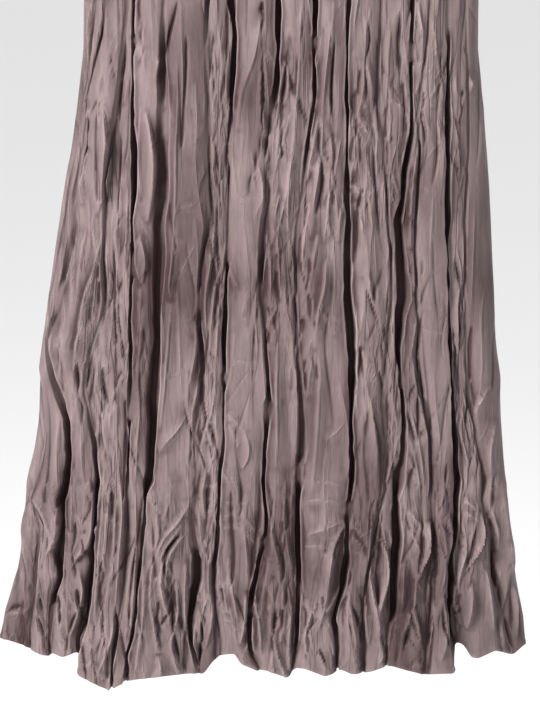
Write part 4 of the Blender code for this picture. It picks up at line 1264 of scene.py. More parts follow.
    def gap_strip(self, number: int, edges: GapEdges, stands: list[Points]) -> Strip:
        """Lays the columns down one gap's left wall and up its right one.

        Args:
            number: the gap's number, which is also that of the pleat on its left.
            edges: the gaps' edges.
            stands: each pleat's stand, crown and crush.

        Returns:
            The gap's columns.
        """
        deep = np.array(self.wall_depth)[None, :]
        reach = np.array(self.wall_reach)[None, :]
        left, right, depth, calm, _, roll, _ = (part[:, [number]] for part in edges)
        rims = edges.rims[:, [number + 1]]
        _, high, _, crushed = (part[:, None] for part in stands[number])
        low, _, _, next_crushed = (part[:, None] for part in stands[number + 1])
        room = np.minimum(self.undercut, 0.2 * depth)
        place = left + (right - left) * reach + np.sign(reach - 0.5) * room * np.sin(np.pi * deep)
        blend = ease(reach, 0.0, 1.0)
        rise = (high - roll + 0.6 * rims) * (1 - blend) + (low + rims) * blend
        none = np.zeros_like(place)
        # Painted highlight along the rims of deep gaps, strongest on the rim that faces the light.
        lit = np.where(reach == 1, 1.0, np.where(reach == 0, 0.8, 0.0)) * calm
        crush = crushed * (1 - reach) + next_crushed * reach
        return Strip(place, rise - depth * deep, deep + none, crush, number + reach + none, depth * deep, lit)

    def lay_columns(self) -> None:
        """Lays the sheet's columns across pleats and gaps, and sets how far each point stands out."""
        edges = self.gap_edges()
        stands = [self.pleat_line(pleat) for pleat in self.pleats]
        strips = []
        for number in range(len(self.pleats)):
            strips.append(self.pleat_strip(number, edges, stands))
            if number < len(self.gaps):
                strips.append(self.gap_strip(number, edges, stands))
        for label, parts in zip(Strip._fields, zip(*strips)):
            setattr(self, label, np.concatenate(parts, axis=1))

    def add_crease(self, crease: Crease) -> None:
        """Raises the sheet along one crease that is read off the view."""
        x, z = self.to_panel(*smooth_route(crease.route))
        self.folds.raise_line((self.mirrored(x), z), crease.rise, (crease.reach_left, crease.reach_right))

    def add_knot(self, knot: Knot, chance: np.random.Generator) -> None:
        """Fans short folds out of one pinched spot, made uneven by chance."""
        x, z = (float(value) for value in self.to_panel(np.array(knot.across), np.array(knot.down)))
        x = self.mirrored(x)
        calm = 0.65 if z < -740.0 else 1.0
        for count, way in ((knot.above, 1.0), (knot.below, -1.0)):
            for number in range(count):
                share = (number + 0.5) / count * 2 - 1
                lean = math.radians(0.75 * knot.spread * (share + chance.uniform(-0.2, 0.2)))
                length = knot.reach * chance.uniform(0.55, 1.1)
                rise = chance.uniform(0.6, 1.1) * (1.0 if number % 2 == 0 else -0.8) * calm
                reach = (chance.uniform(2.2, 7.0), chance.uniform(2.2, 7.0))
                route = bent_line(x, z, lean, way * length, chance)
                self.folds.raise_line(route, rise, reach, pinch=True)

    def add_crinkles(self) -> None:
        """Adds many small creases in chance places, most of them where a pleat is crushed."""
        folds = self.folds
        chance = np.random.default_rng(self.seed + 7)
        likely = (0.06 + self.crush**1.5) * (1 - self.open_share) * (1 - 0.6 * folds.placed)
        likely *= np.gradient(-folds.z, axis=0)
        likely *= 1 - 0.55 * ease(-folds.z, 740.0, 790.0)
        likely = likely.ravel() / likely.sum()
        taken: list[tuple[float, float]] = []
        for spot in chance.choice(likely.size, 3 * self.crinkles, replace=False, p=likely):
            x, z = float(folds.x.flat[spot]), float(folds.z.flat[spot])
            if any(abs(x - other_x) < 6.5 and abs(z - other_z) < 60.0 for other_x, other_z in taken):
                continue
            taken.append((x, z))
            crushed = float(self.crush.flat[spot])
            length = chance.uniform(50.0, 110.0) + 70.0 * (1 - crushed) * chance.uniform()
            lean = float(chance.normal(0.0, 0.05 + 0.06 * crushed))
            rise = chance.uniform(0.4, 1.1) * (0.3 + 0.7 * crushed)
            rise *= 1.0 if chance.uniform() < 0.62 else -1.0
            steep = chance.uniform(2.0, 4.0)
            steep_first = chance.uniform() < 0.4
            soft = chance.uniform(5.0, 10.0)
            reach = (steep, soft) if steep_first else (soft, steep)
            top_x = x + math.sin(lean) * length / 2
            top_z = z + math.cos(lean) * length / 2
            route = bent_line(top_x, top_z, lean, -length, chance)
            folds.raise_line(route, rise, reach)
            if chance.uniform() < 0.3 * crushed + 0.15:
                turned = lean + math.copysign(chance.uniform(0.25, 0.55), chance.uniform(-1, 1))
                fork = bent_line(float(route[0][2]), float(route[1][2]), turned, -0.7 * length, chance)
                folds.raise_line(fork, 0.8 * rise, reach, pinch=True)

    def add_folds(self) -> None:
        """Raises every crease, knot and crinkle."""
        for crease in self.creases:
            self.add_crease(crease)
        chance = np.random.default_rng(self.seed + 5)
        for knot in self.knots:
            self.add_knot(knot, chance)
        self.add_crinkles()
        z = self.folds.z
        lift = self.crease_lift * (1 + 0.35 * ease(-z, 690.0, 760.0))
        near_seam = ease(self.inland() / (14 + 14 * ease(-z, 820.0, 880.0)), 0.0, 1.0)
        self.stand += self.folds.heights(lift * (1 - 0.7 * self.open_share) * near_seam)

    def add_crumple(self) -> None:
        """Adds crinkles all over the cloth: three sizes of facets, the crushed band's cross ones, gathers."""
        centre = np.array([[line.length / 2] for line in self.lines])
        at = (self.along - centre, self.folds.z)
        seed = self.seed * 10
        large = Crumple(seed + 1, 10.5, 84.0, 0.7).height(*at)
        middle = Crumple(seed + 2, 7.0, 66.0, 0.7).ridge(*at)
        small = Crumple(seed + 3, 5.2, 22.0, 0.7).height(*at)
        cross = Crumple(seed + 4, 26.0, 14.0).height(*at)
        gathers = Crumple(seed + 5, 4.6, 160.0, 0.3).height(*at)
        z = self.folds.z
        band = bell(z - self.crushed_band, 48.0)
        amount = (0.2 + 0.8 * self.crush**1.4) * np.interp(-z, [self.band_top, 90.0], [0.5, 1.0])
        height = amount * (1.7 * large + 0.45 * middle + 0.12 * small)
        height += 2.2 * band * (0.3 + self.crush) * cross
        height += 1.3 * gathers * ease(z, -150.0, -30.0)
        calm = (1 - 0.85 * self.open_share) * (1 - 0.6 * self.folds.placed)
        calm *= 1 - 0.55 * ease(-z, 740.0, 790.0)
        self.stand += height * calm * ease(self.inland(), 0.0, 9.0)

    def soften_askew(self, sideways: Points) -> None:
        """Softens folds where the sheet's columns run askew, so that no crest breaks up into beads there.

        Args:
            sideways: how far out of the tube's side each point looks to the front or back, from 0 to 1.
        """
        askew = np.abs(np.gradient(self.folds.x, axis=0)) / np.maximum(sideways, 0.15)
        height = self.stand + self.down_gap
        soft = height
        for _ in range(2):
            wide = np.pad(soft, 1, mode="edge")
            soft = (wide[:-2, 1:-1] + 2 * wide[1:-1, 1:-1] + wide[2:, 1:-1]) / 4
            wide = np.pad(soft, 1, mode="edge")
            soft = (wide[1:-1, :-2] + 2 * wide[1:-1, 1:-1] + wide[1:-1, 2:]) / 4
        self.stand += (soft - height) * ease(askew, 0.5, 1.3)

    def hollows(self, across: int, down: int) -> Points:
        """How far each point lies below the cloth around it, in mm, apart from the gaps' own depth.

        Args:
            across: how many points to each side count.
            down: how many rows up and down count.

        Returns:
            The depth at each point, under zero where it stands proud.
        """
        height = self.stand + self.down_gap
        level = height
        for axis, count in ((1, across), (0, down)):
            steps = np.arange(-2 * count, 2 * count + 1)
            weights = bell(steps, count)
            size = level.shape[axis]
            places = np.clip(np.arange(size)[:, None] + steps[None, :], 0, size - 1)
            taken = np.take(level, places, axis=axis)
            level = np.tensordot(taken, weights / weights.sum(), axes=([axis + 1], [0]))
        return level - height

    def front_drop(self) -> Points:
        """How far each column's foot moves in mm to meet the hem's outline in the view."""
        foot = self.points[-1]
        across = self.view.across_of(foot[:, 0], foot[:, 1], foot[:, 2])
        on_pleat = self.open_share[-1] == 0
        on_pleat[[0, -1]] = True
        drop = np.zeros(len(foot))
        for number, route in enumerate(self.hem):
            mine = on_pleat & (np.abs(self.pleat_of[-1] - number) < 0.4)
            down = np.interp(across[mine], *np.array(route, float).T)
            _, z = self.view.meet(across[mine], down, foot[mine, 1])
            drop[mine] = z - foot[mine, 2]
        distance = self.along[-1]
        drop = np.interp(distance, distance[on_pleat], drop[on_pleat]) - 0.56 * self.down_gap[-1]
        near = bell(distance[:, None] - distance[None, :], 2.6)
        drop = near @ drop / near.sum(axis=1)
        return np.clip(drop, -22.0, 26.0)

    def back_drop(self) -> Points:
        """How far each column's foot moves in mm: the hem waves, and meets the front's at the seams."""
        distance = self.along[-1]
        drop = -Wander(self.seed + 3).along(distance, 26.0, 5.0)
        for end in (0, -1):
            near = np.exp(-np.abs(distance - distance[end]) / 20.0)
            drop = drop * (1 - near) + self.meets.drop[end] * near
        return drop

    def work_out_looks(self) -> None:
        """Works out what the material reads at each point: painted shade in gaps, hollows and on pleats
        turned from the light, crush, painted highlights on edges and crests, and crease lines.
        """
        hollow = self.hollows(2, 1) + 0.6 * self.hollows(5, 2)
        count = len(self.pleats)
        facing = [Wander(self.seed + 70 + number).along(self.heights, 85.0, 1.0) for number in range(count)]
        facing = np.stack(facing, axis=1)
        low, share = np.divmod(np.clip(self.pleat_of, 0, count - 1.001), 1)
        row = np.arange(len(facing))[:, None]
        first, second = facing[row, low.astype(int)], facing[row, low.astype(int) + 1]
        # Painted shade: each pleat darkens by a wandering amount, standing for the way it turns away from the
        # light.
        painted_facing_shade = 0.52 * np.clip(first * (1 - share) + second * share, 0, 1)
        # Painted shade: darker deep in the gaps and in hollows of the cloth, where shade falls.
        deep = np.maximum((self.down_gap - 3.0) / 13.0, np.clip(hollow / 1.7, 0, 1))
        self.looks = {
            "painted_fold_shade": np.clip(deep + painted_facing_shade, 0, 1),
            "crush": np.clip(self.crush * (1 - self.open_share), 0, 1),
            # Painted highlight: crests that stand proud of the cloth around them are brightened, as are the
            # gap rims.
            "edge": np.maximum(self.edge, 0.25 * np.clip(-hollow / 2.0, 0, 1) * (1 - self.open_share)),
            "line_way": self.folds.line_way,
            "line_share": self.folds.line_strength(),
        }

    def build(self) -> bpy.types.Object:
        """Builds the sheet, dresses it and hides the plain solid that it stands for.

        Returns:
            The sheet.
        """
        self.lay_rows()
        self.lay_columns()
        spots = np.stack([line.spot(row) for line, row in zip(self.lines, self.along)])
        outward = np.stack([line.outward(row) for line, row in zip(self.lines, self.along)])
        z = np.repeat(self.heights[:, None], self.along.shape[1], axis=1)
        self.folds = FoldMap(spots[..., 0], z, self.open_share)
        self.add_folds()
        self.add_crumple()
        self.soften_askew(np.abs(outward[..., 1]))
        self.points = np.concatenate([spots + outward * self.stand[..., None], z[..., None]], axis=2)
        self.drop = self.front_drop() if self.side is Side.FRONT else self.back_drop()
        self.points[..., 2] += self.drop[None, :] * ease(self.heights, -790.0, self.bottom)[:, None]
        faces = grid_faces(*z.shape, flip=self.side is Side.FRONT)
        piece = new_piece(self.name, self.points.reshape(-1, 3), faces, self.finish)
        self.work_out_looks()
        for label, value in self.looks.items():
            set_values(piece, label, value)
        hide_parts(self.node)
        return piece


# ----- Finishes -----


def connect(tree: Tree, node: bpy.types.Node, inputs: dict[str | int, object]) -> None:
    """Joins each of a node's inputs to a socket, or sets it to a constant.

    Args:
        tree: the node's tree.
        node: the node.
        inputs: sockets and constants by the input's name or number.
    """
    for label, value in inputs.items():
        if isinstance(value, Socket):
            tree.links.new(value, node.inputs[label])
        else:
            node.inputs[label].default_value = value


def add_node(tree: Tree, kind: str, inputs: dict[str | int, object], **settings: object) -> bpy.types.Node:
    """Adds a node to a tree.

    Args:
        tree: the tree.
        kind: the node's type, without the ShaderNode that it starts with.
        inputs: sockets and constants by the input's name or number.
        settings: the node's own settings.

    Returns:
        The node.
    """
    node = tree.nodes.new(f"ShaderNode{kind}")
    for label, value in settings.items():
        setattr(node, label, value)
    connect(tree, node, inputs)
    return node


def maths(tree: Tree, operation: str, *values: Socket | float, clamp: bool = False) -> Socket:
    """The result of a maths node.

    Args:
        tree: the tree to add it to.
        operation: what it does.
        values: its inputs, sockets or constants.
        clamp: keeps the result between 0 and 1.

    Returns:
        The result.
    """
    node = add_node(tree, "Math", dict(enumerate(values)), operation=operation, use_clamp=clamp)
    return node.outputs["Value"]


def spread(tree: Tree, value: Socket, low: float, high: float) -> Socket:
    """A noise's middle stretch, drawn out to run from low to high."""
    ends = {"Value": value, "From Min": 0.3, "From Max": 0.7, "To Min": low, "To Max": high}
    return add_node(tree, "MapRange", ends).outputs["Result"]


def new_group(name: str, inputs: dict[str, str], outputs: dict[str, str]) -> Tree:
    """Makes an empty shader node group.

    Args:
        name: the group's name.
        inputs: each input's kind by its name: Float, Vector or Color.
        outputs: each output's kind by its name.

    Returns:
        The group, with its input and output nodes.
    """
    group = bpy.data.node_groups.new(name, "ShaderNodeTree")
    for way, sockets in (("INPUT", inputs), ("OUTPUT", outputs)):
        for label, kind in sockets.items():
            group.interface.new_socket(name=label, in_out=way, socket_type=f"NodeSocket{kind}")
    group.nodes.new("NodeGroupInput")
    group.nodes.new("NodeGroupOutput")
    return group


def stretched_noise(group: Tree, stretch: Triple, scale: float, detail: float, twist: float = 0.0) -> Socket:
    """Adds a noise that is drawn out along the cloth to a group.

    Args:
        group: the group, with an input called Place.
        stretch: how much each axis is multiplied by before the noise.
        scale: the noise's scale.
        detail: the noise's detail.
        twist: how far it is twisted.

    Returns:
        The noise's value.
    """
    place = group.nodes["Group Input"].outputs["Place"]
    drawn = add_node(group, "Mapping", {"Vector": place, "Scale": stretch}).outputs["Vector"]
    noise = {"Vector": drawn, "Scale": scale, "Detail": detail, "Distortion": twist}
    return add_node(group, "TexNoise", noise).outputs["Fac"]


def thin_crest(group: Tree, way: Socket, sharpness: float) -> Socket:
    """A thin crest where a value crosses zero.

    Args:
        group: the group to add it to.
        way: how far the place is from the crest's line, with its sign.
        sharpness: how fast the crest falls off.

    Returns:
        The crest's height, 1 on its line.
    """
    return maths(group, "EXPONENT", maths(group, "MULTIPLY", maths(group, "ABSOLUTE", way), -sharpness))


def crinkle_line(group: Tree, stretch: Triple, scale: float, height: float, sharpness: float,
                 below: Socket | float = 0.0) -> Socket:
    """Adds thin sharp crests that run down the cloth to a group.

    Args:
        group: the group, with an input called Place.
        stretch: how much each axis is multiplied by before the noise.
        scale: the noise's scale.
        height: the crests' height in mm.
        sharpness: how fast they fall off.
        below: relief that the crests are added to.

    Returns:
        The relief.
    """
    way = maths(group, "SUBTRACT", stretched_noise(group, stretch, scale, 1.0, 0.4), 0.5)
    return maths(group, "MULTIPLY_ADD", thin_crest(group, way, sharpness), height, below)


@cache
def crease_line() -> Tree:
    """The thin line along each placed fold, with a shade of the other sign on its right; it is relief, and is
    also painted into the colour as a highlight on crests and painted shadow in troughs and beside crests.

    Returns:
        The group. Its line is 1 on a strong ridge's crest and -1 in a trough.
    """
    group = new_group("crease_line", {"Line Way": "Float", "Line Share": "Float"}, {"Line": "Float"})
    given = group.nodes["Group Input"].outputs
    beside = thin_crest(group, maths(group, "SUBTRACT", given["Line Way"], 2.6), 0.9)
    both = maths(group, "MULTIPLY_ADD", beside, -0.75, thin_crest(group, given["Line Way"], 1.5))
    line = maths(group, "MULTIPLY", both, given["Line Share"])
    connect(group, group.nodes["Group Output"], {"Line": line})
    return group


@cache
def satin_grain() -> Tree:
    """The satin's fine relief and gloss: thin crinkles drawn out down the cloth, and its weave.

    Returns:
        The group. Its height is in mm, and its crinkle is a brightness: random tone from the fine noise, with
        painted highlights on the crinkles' crests and painted shade in their troughs where the cloth is
        crushed.
    """
    group = new_group("satin_grain", {"Place": "Vector", "Crush": "Float", "Line": "Float"},
                      {"Height": "Float", "Roughness": "Float", "Crinkle Tone And Highlight": "Float"})
    given = group.nodes["Group Input"].outputs
    wide = crinkle_line(group, (1.0, 1.0, 0.1), 60.0, 1.3, 22.0)
    narrow = crinkle_line(group, (1.0, 1.0, 0.12), 120.0, -1.1, 16.0, wide)
    hair = stretched_noise(group, (1.0, 1.0, 0.3), 330.0, 4.0)
    folds = maths(group, "MULTIPLY", narrow, maths(group, "POWER", given["Crush"], 1.3))
    lined = maths(group, "MULTIPLY_ADD", given["Line"], 1.5, folds)
    connect(group, group.nodes["Group Output"], {
        "Height": maths(group, "MULTIPLY_ADD", hair, 0.22, lined),
        "Roughness": spread(group, hair, 0.52, 0.62),
        # Random tone from the fine noise, with painted highlight on crinkle crests and painted shade in their
        # troughs.
        "Crinkle Tone And Highlight": maths(group, "MULTIPLY_ADD", hair, 1.2, folds),
    })
    return group


@cache
def satin_tone() -> Tree:
    """The satin's colour with painted light: painted sheen streaks and painted shade in folds mix it towards
    the deep colour, and painted highlights and painted crease lines brighten or darken it.

    Returns:
        The group.
    """
    group = new_group(
        "satin_tone",
        {"Place": "Vector", "Light": "Color", "Painted Shade Colour": "Color", "Painted Fold Shade": "Float", "Painted Rim Highlight": "Float",
         "Line": "Float", "Crinkle Tone And Highlight": "Float"},
        {"Color": "Color"},
    )
    given = group.nodes["Group Input"].outputs
    # Painted sheen: streaks drawn out down the cloth that darken it, standing for the satin's changing
    # reflection.
    painted_sheen_streak = spread(group, stretched_noise(group, (1.0, 1.0, 0.18), 60.0, 3.0), 0.0, 0.42)
    # Painted shade: the colour mixes towards the deep colour by the painted fold shade and the painted sheen
    # streaks.
    depth = maths(group, "ADD", painted_sheen_streak, given["Painted Fold Shade"], clamp=True)
    mix = add_node(group, "Mix", {}, data_type="RGBA")
    connect(group, mix, {"Factor": depth, "A": given["Light"], "B": given["Painted Shade Colour"]})
    # Brightness from random tone and painted crinkle highlights and shade.
    crinkled = maths(group, "MULTIPLY_ADD", given["Crinkle Tone And Highlight"], 0.3, 0.82)
    # Painted highlight and painted shadow along the placed folds.
    lined = maths(group, "ADD", given["Line"], crinkled)
    # Painted highlight: edges and crests brighten the colour.
    shine = maths(group, "MULTIPLY_ADD", given["Painted Rim Highlight"], 0.7, lined)
    bright = add_node(group, "VectorMath", {}, operation="SCALE")
    connect(group, bright, {0: mix.outputs["Result"], "Scale": shine})
    connect(group, group.nodes["Group Output"], {"Color": bright.outputs["Vector"]})
    return group


@dataclass(frozen=True)
class Finish:
    """Crushed satin: its colours, sheen and relief."""

    name: str
    slot: str
    # light is the satin's colour; deep is a darker, shaded copy of it that painted shade and painted sheen
    # streaks mix towards.
    light: Triple = (0.184, 0.136, 0.134)
    deep: Triple = (0.040, 0.019, 0.020)
    sheen: float = 0.1
    sheen_roughness: float = 0.4
    specular: float = 0.25
    relief: float = 1.0

    @cache
    def material(self) -> bpy.types.Material:
        """Makes the material, once.

        Returns:
            The material.
        """
        material = bpy.data.materials.new(self.name)
        material.use_nodes = True
        tree = material.node_tree
        place = add_node(tree, "TexCoord", {}).outputs["Object"]
        # These attributes include painted shade in folds and painted highlights on edges and crests.
        depth, crush, edge, way, share = (
            add_node(tree, "Attribute", {}, attribute_name=label).outputs["Fac"]
            for label in ("painted_fold_shade", "crush", "edge", "line_way", "line_share")
        )
        lines = add_node(tree, "Group", {}, node_tree=crease_line())
        connect(tree, lines, {"Line Way": way, "Line Share": share})
        line = lines.outputs["Line"]
        grain = add_node(tree, "Group", {}, node_tree=satin_grain())
        connect(tree, grain, {"Place": place, "Crush": crush, "Line": line})
        tone = add_node(tree, "Group", {}, node_tree=satin_tone())
        connect(tree, tone, {
            "Place": place, "Light": (*self.light, 1.0), "Painted Shade Colour": (*self.deep, 1.0), "Painted Fold Shade": depth,
            "Painted Rim Highlight": edge, "Line": line, "Crinkle Tone And Highlight": grain.outputs["Crinkle Tone And Highlight"],
        })
        relief = {"Strength": self.relief, "Distance": MM, "Height": grain.outputs["Height"]}
        bump = add_node(tree, "Bump", relief)
        connect(tree, tree.nodes["Principled BSDF"], {
            "Base Color": tone.outputs["Color"], "Roughness": grain.outputs["Roughness"],
            "Normal": bump.outputs["Normal"], "Sheen Weight": self.sheen,
            "Sheen Roughness": self.sheen_roughness, "Specular IOR Level": self.specular,
        })
        return material


# ----- Waistband and sewing -----


def stitched(name: str, line: Points, up: Points, finish: Finish, length: float = 2.8,
             gap: float = 0.8) -> bpy.types.Object:
    """Sews a row of stitches along a line on the cloth, as one joined mesh.

    Args:
        name: the row's name.
        line: points along the row in mm.
        up: the direction away from the cloth at each of them.
        finish: the thread's material.
        length: a stitch's length in mm.
        gap: the gap between stitches in mm.

    Returns:
        The row.
    """
    passed = np.concatenate([[0.0], np.cumsum(np.linalg.norm(np.diff(line, axis=0), axis=1))])
    starts = np.arange(1.0, passed[-1] - length, length + gap)
    at = (starts[:, None] + length * np.array([0.0, 0.22, 0.78, 1.0])).ravel()
    spot, away = (np.stack([np.interp(at, passed, part) for part in values.T], axis=1).reshape(-1, 4, 3)
                  for values in (line, up))
    away = away / np.maximum(np.linalg.norm(away, axis=2, keepdims=True), 1e-6)
    way = spot[:, 3] - spot[:, 0]
    across = np.cross(way[:, None, :] / np.maximum(np.linalg.norm(way, axis=1), 1e-6)[:, None, None], away)
    lift = np.array([-0.1, 0.2, 0.2, -0.1])[None, :, None]
    half = np.array([0.1, 0.28, 0.28, 0.1])[None, :, None]
    middle = spot + away * lift
    corners = [middle + across * half, middle + away * half, middle - across * half, middle - away * half]
    faces = []
    for first in range(0, 16 * len(starts), 16):
        for start in range(first, first + 12, 4):
            faces += [(start + side, start + (side + 1) % 4, start + 4 + (side + 1) % 4, start + 4 + side)
                      for side in range(4)]
        faces += [(first + 3, first + 2, first + 1, first), (first + 12, first + 13, first + 14, first + 15)]
    return new_piece(name, np.stack(corners, axis=2).reshape(-1, 3), faces, finish)


@dataclass
class Waistband:
    """The elastic waistband, with the cloth ruched over it between rows of stitching."""

    tube: Tube
    finish: Finish
    thread: Finish
    height: float = 38.0
    wall: float = 3.0
    columns: int = 620
    outer_rows: int = 21
    inner_rows: int = 9
    stitch_rows: tuple[float, ...] = (-11.4, 0.0, 11.4)
    ruche: float = 0.9
    crinkle: float = 0.5
    channel: float = 0.8
    edge_reach: float = 2.5
    outer_round: float = 1.2
    inner_round: float = 1.0

    def ring(self, z: float, stand: Points) -> Points:
        """A closed line round the band at one height.

        Args:
            z: the height in mm.
            stand: how far each point stands out in mm.

        Returns:
            Its points.
        """
        half = self.columns // 2
        share = np.arange(half) / half
        loops = []
        for side, way, part in ((Side.FRONT, share, stand[:half]), (Side.BACK, 1 - share, stand[half:])):
            line = TubeLine(self.tube, side, z)
            at = way * line.length
            loops.append(line.spot(at) + line.outward(at) * part[:, None])
        flat = np.concatenate(loops)
        return np.column_stack([flat, np.full(len(flat), z)])

    def outer_ring(self, z: float, gathers: Crumple, cloth: Crumple) -> Points:
        """A line round the ruched outside of the band.

        Args:
            z: the height in mm.
            gathers: the ruching.
            cloth: the crinkles over it.

        Returns:
            Its points.
        """
        at = (np.arange(self.columns) * 1.1, np.full(self.columns, z))
        edge = ease(self.height / 2 - abs(z), 0.0, self.edge_reach)
        drawn_in = sum(math.exp(-(((z - row) / 1.2) ** 2)) for row in self.stitch_rows)
        stand = self.wall / 2 - self.outer_round + self.outer_round * edge - self.channel * drawn_in
        relief = gathers.height(*at) * self.ruche * (1 - 0.5 * drawn_in) + self.crinkle * cloth.height(*at)
        return self.ring(z, stand + relief * edge)

    def build(self) -> bpy.types.Object:
        """Builds the band as a closed wall, hides the plain one and sews the rows of stitches.

        Returns:
            The band.
        """
        half = self.height / 2
        gathers = Crumple(71, 2.6, 60.0, 0.25)
        cloth = Crumple(72, 4.4, 18.0, 0.4)
        levels = np.linspace(half, -half, self.outer_rows).tolist()
        outer = {z: self.outer_ring(z, gathers, cloth) for z in levels}
        rings = list(outer.values())
        for z in np.linspace(-half, half, self.inner_rows):
            edge = ease(half - abs(z), 0.0, self.edge_reach)
            stand = -self.wall / 2 + self.inner_round * (1 - edge)
            rings.append(self.ring(float(z), np.full(self.columns, stand)))
        faces = grid_faces(len(rings), self.columns, flip=True, closed=True)
        last = (len(rings) - 1) * self.columns
        for column in range(self.columns):
            beside = (column + 1) % self.columns
            faces.append((column, beside, last + beside, last + column))
        piece = new_piece("waistband_ruched", np.concatenate(rings), faces, self.finish)
        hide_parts("waistband")
        sewn = [line for z, line in outer.items() if min(abs(z - row) for row in self.stitch_rows) < 0.1]
        for number, line in enumerate(sewn, 1):
            self.sew(f"waistband_stitches_{number}", np.concatenate([line, line[:1]]))
        return piece

    def sew(self, name: str, line: Points) -> None:
        """Sews one row of stitches round the band.

        Args:
            name: the row's name.
            line: the closed line that it follows.
        """
        along = np.gradient(line, axis=0)
        outward = np.column_stack([along[:, 1], -along[:, 0], np.zeros(len(line))])
        outward *= np.sign((outward * line).sum())
        outward /= np.linalg.norm(outward, axis=1, keepdims=True)
        stitched(name, line + 0.1 * outward, outward, self.thread)


@dataclass
class Hem:
    """A narrow hem: the foot of a panel turned up twice and stitched."""

    panel: CrinkledPanel
    finish: Finish
    thread: Finish
    rows_up: int = 2
    stand: float = 0.6
    top_stand: float = 0.12
    fold: float = 0.7
    # How much painted highlight the hem's fold gets.
    painted_rim_highlight: float = 0.3

    def build(self) -> list[bpy.types.Object]:
        """Builds the turned edge as a closed strip round the foot of the panel, and sews it.

        Returns:
            The strip and its stitches.
        """
        grid = self.panel.points
        foot = len(grid) - 1
        rows = list(range(foot - self.rows_up, foot + 1))
        normals = self.sheet_normals(grid[-6:])[-len(rows):]
        reach = np.array([self.top_stand] + [self.stand] * self.rows_up)[:, None, None]
        outside = grid[rows] + normals * reach
        inside = grid[rows] - normals * reach
        fold = grid[[foot]] - np.array([0.0, 0.0, self.fold])
        lines = np.concatenate([outside, fold, inside[::-1]])
        faces = grid_faces(len(lines), grid.shape[1], flip=self.panel.side is Side.FRONT)
        piece = new_piece(f"{self.panel.name}_hem", lines.reshape(-1, 3), faces, self.finish)
        taken = np.array([*rows, foot, *reversed(rows)])
        for label, values in self.panel.looks.items():
            looks = values[taken]
            # Painted highlight along the hem's fold.
            if label == "edge":
                looks[taken == foot] += self.painted_rim_highlight
            set_values(piece, label, looks)
        sewn = 0.4 * outside[0] + 0.6 * outside[1] + 0.1 * normals[1]
        row = stitched(f"{self.panel.name}_hem_stitches", sewn, normals[1], self.thread)
        return [piece, row]

    def sheet_normals(self, grid: Points) -> Points:
        """The outward direction of the sheet at each of a few rows of points."""
        way = np.cross(np.gradient(grid, axis=0), np.gradient(grid, axis=1)) * self.panel.side.value
        return way / np.maximum(np.linalg.norm(way, axis=2, keepdims=True), 1e-6)


@dataclass
class SideSeam:
    """The seam that joins the front to the back at one side, with its allowance inside."""

    front: CrinkledPanel
    back: CrinkledPanel
    end: int
    finish: Finish
    allowance: float = 9.0

    def build(self) -> bpy.types.Object:
        """Builds the seam as a closed strip: a sunk join outside and two plies of cloth standing inside.

        Returns:
            The strip.
        """
        edge = (self.front.points[:-1, self.end] + self.back.points[:-1, self.end]) / 2
        way = math.copysign(1.0, float(edge[0, 0]))
        profile = ((-1.7, 0.3), (-0.8, 0.25), (0.0, -0.3), (0.8, 0.25), (1.7, 0.3), (0.9, -0.7), (0.5, -1.2),
                   (0.5, -self.allowance), (-0.5, -self.allowance), (-0.5, -1.2), (-0.9, -0.7))
        shape = np.array([(way * out, along, 0.0) for along, out in profile])
        points = edge[:, None, :] + shape[None, :, :]
        faces = grid_faces(len(edge), len(profile), flip=way > 0, closed=True)
        name = "side_seam_left" if way < 0 else "side_seam_right"
        return new_piece(name, points.reshape(-1, 3), faces, self.finish)


# ----- Studio, in metres -----


@dataclass(frozen=True)
class SoftLight:
    """A soft studio light."""

    name: str
    place: Triple
    aim: Triple
    size: float
    power: float

    def build(self) -> None:
        """Hangs the light and turns it to its aim."""
        lamp = bpy.data.lights.new(self.name, "AREA")
        lamp.shape = "SQUARE"
        lamp.size = self.size
        lamp.energy = self.power
        light = bpy.data.objects.new(self.name, lamp)
        light.location = self.place
        way = np.array(self.aim) - np.array(self.place)
        way /= np.linalg.norm(way)
        light.rotation_euler = (math.acos(-way[2]), 0.0, math.atan2(way[1], way[0]) - math.pi / 2)
        bpy.context.scene.collection.objects.link(light)


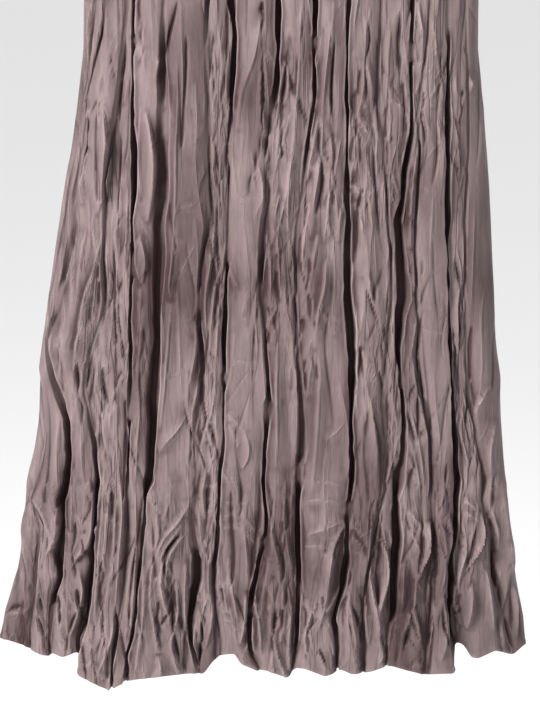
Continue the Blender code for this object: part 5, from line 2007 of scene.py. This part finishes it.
@dataclass(frozen=True)
class Studio:
    """The plain pale floor, the soft lights and the world."""

    floor_z: float = -2.1
    floor_half: float = 45.0
    floor_colour: Triple = (0.9, 0.9, 0.905)
    floor_roughness: float = 0.9
    sky: float = 0.05
    overhead: float = 2.6
    overhead_angle: float = 50.0
    lights: tuple[SoftLight, ...] = (
        SoftLight("key_light", (-1.8, -2.0, 0.5), (0.0, 0.0, -0.55), 0.6, 147.0),
        SoftLight("fill_light", (1.9, -2.3, 0.2), (0.0, 0.0, -0.5), 1.2, 20.0),
        SoftLight("rear_light", (2.0, 1.6, 0.7), (0.0, 0.0, -0.5), 0.9, 20.0),
    )

    def lay_floor(self) -> None:
        """Lays the floor."""
        mesh = bpy.data.meshes.new("floor")
        sides = ((-1, -1), (1, -1), (1, 1), (-1, 1))
        corners = [(x * self.floor_half, y * self.floor_half, self.floor_z) for x, y in sides]
        mesh.from_pydata(corners, [], [(0, 1, 2, 3)])
        material = bpy.data.materials.new("pale_floor")
        material.use_nodes = True
        paint = {"Base Color": (*self.floor_colour, 1.0), "Roughness": self.floor_roughness}
        connect(material.node_tree, material.node_tree.nodes["Principled BSDF"], paint)
        mesh.materials.append(material)
        floor = bpy.data.objects.new("floor", mesh)
        bpy.context.scene.collection.objects.link(floor)

    def build(self) -> None:
        """Sets up the floor, lights, world and picture."""
        self.lay_floor()
        world = bpy.data.worlds.new("pale_world")
        world.use_nodes = True
        sky = {"Color": (1.0, 1.0, 1.0, 1.0), "Strength": self.sky}
        connect(world.node_tree, world.node_tree.nodes["Background"], sky)
        bpy.context.scene.world = world
        bpy.context.scene.view_settings.view_transform = "Standard"
        for light in self.lights:
            light.build()
        lamp = bpy.data.lights.new("overhead_light", "SUN")
        lamp.energy = self.overhead
        lamp.angle = math.radians(self.overhead_angle)
        bpy.context.scene.collection.objects.link(bpy.data.objects.new("overhead_light", lamp))


def main() -> None:
    """Builds the skirt and its studio."""
    logging.basicConfig(level=logging.INFO)
    view = ViewPoint()
    view.make_camera()
    tube = Tube()
    front_satin = Finish("satin_front", "front_cloth")
    back_satin = Finish("satin_back", "back_cloth")
    band_satin = Finish("satin_band", "band_cloth")
    # The thread's deep colour is its shaded copy, which the painted sheen streaks mix towards.
    thread = Finish("satin_thread", "band_cloth", light=(0.13, 0.09, 0.088), deep=(0.10, 0.065, 0.064))
    front = CrinkledPanel("front_satin", "front_panel", Side.FRONT, tube, FRONT_GAPS, FRONT_PLEATS,
                          FRONT_CREASES, FRONT_KNOTS, FRONT_HEM, view, front_satin, seed=11)
    back = CrinkledPanel("back_satin", "back_panel", Side.BACK, tube, BACK_GAPS, BACK_PLEATS,
                         FRONT_CREASES, FRONT_KNOTS, (), view, back_satin, seed=23, meets=front)
    for panel, finish in ((front, front_satin), (back, back_satin)):
        piece = panel.build()
        hem = Hem(panel, finish, thread).build()
    for end in (0, -1):
        SideSeam(front, back, end, front_satin).build()
    Waistband(tube, band_satin, thread).build()
    Studio().build()


if __name__ == "__main__":
    main()
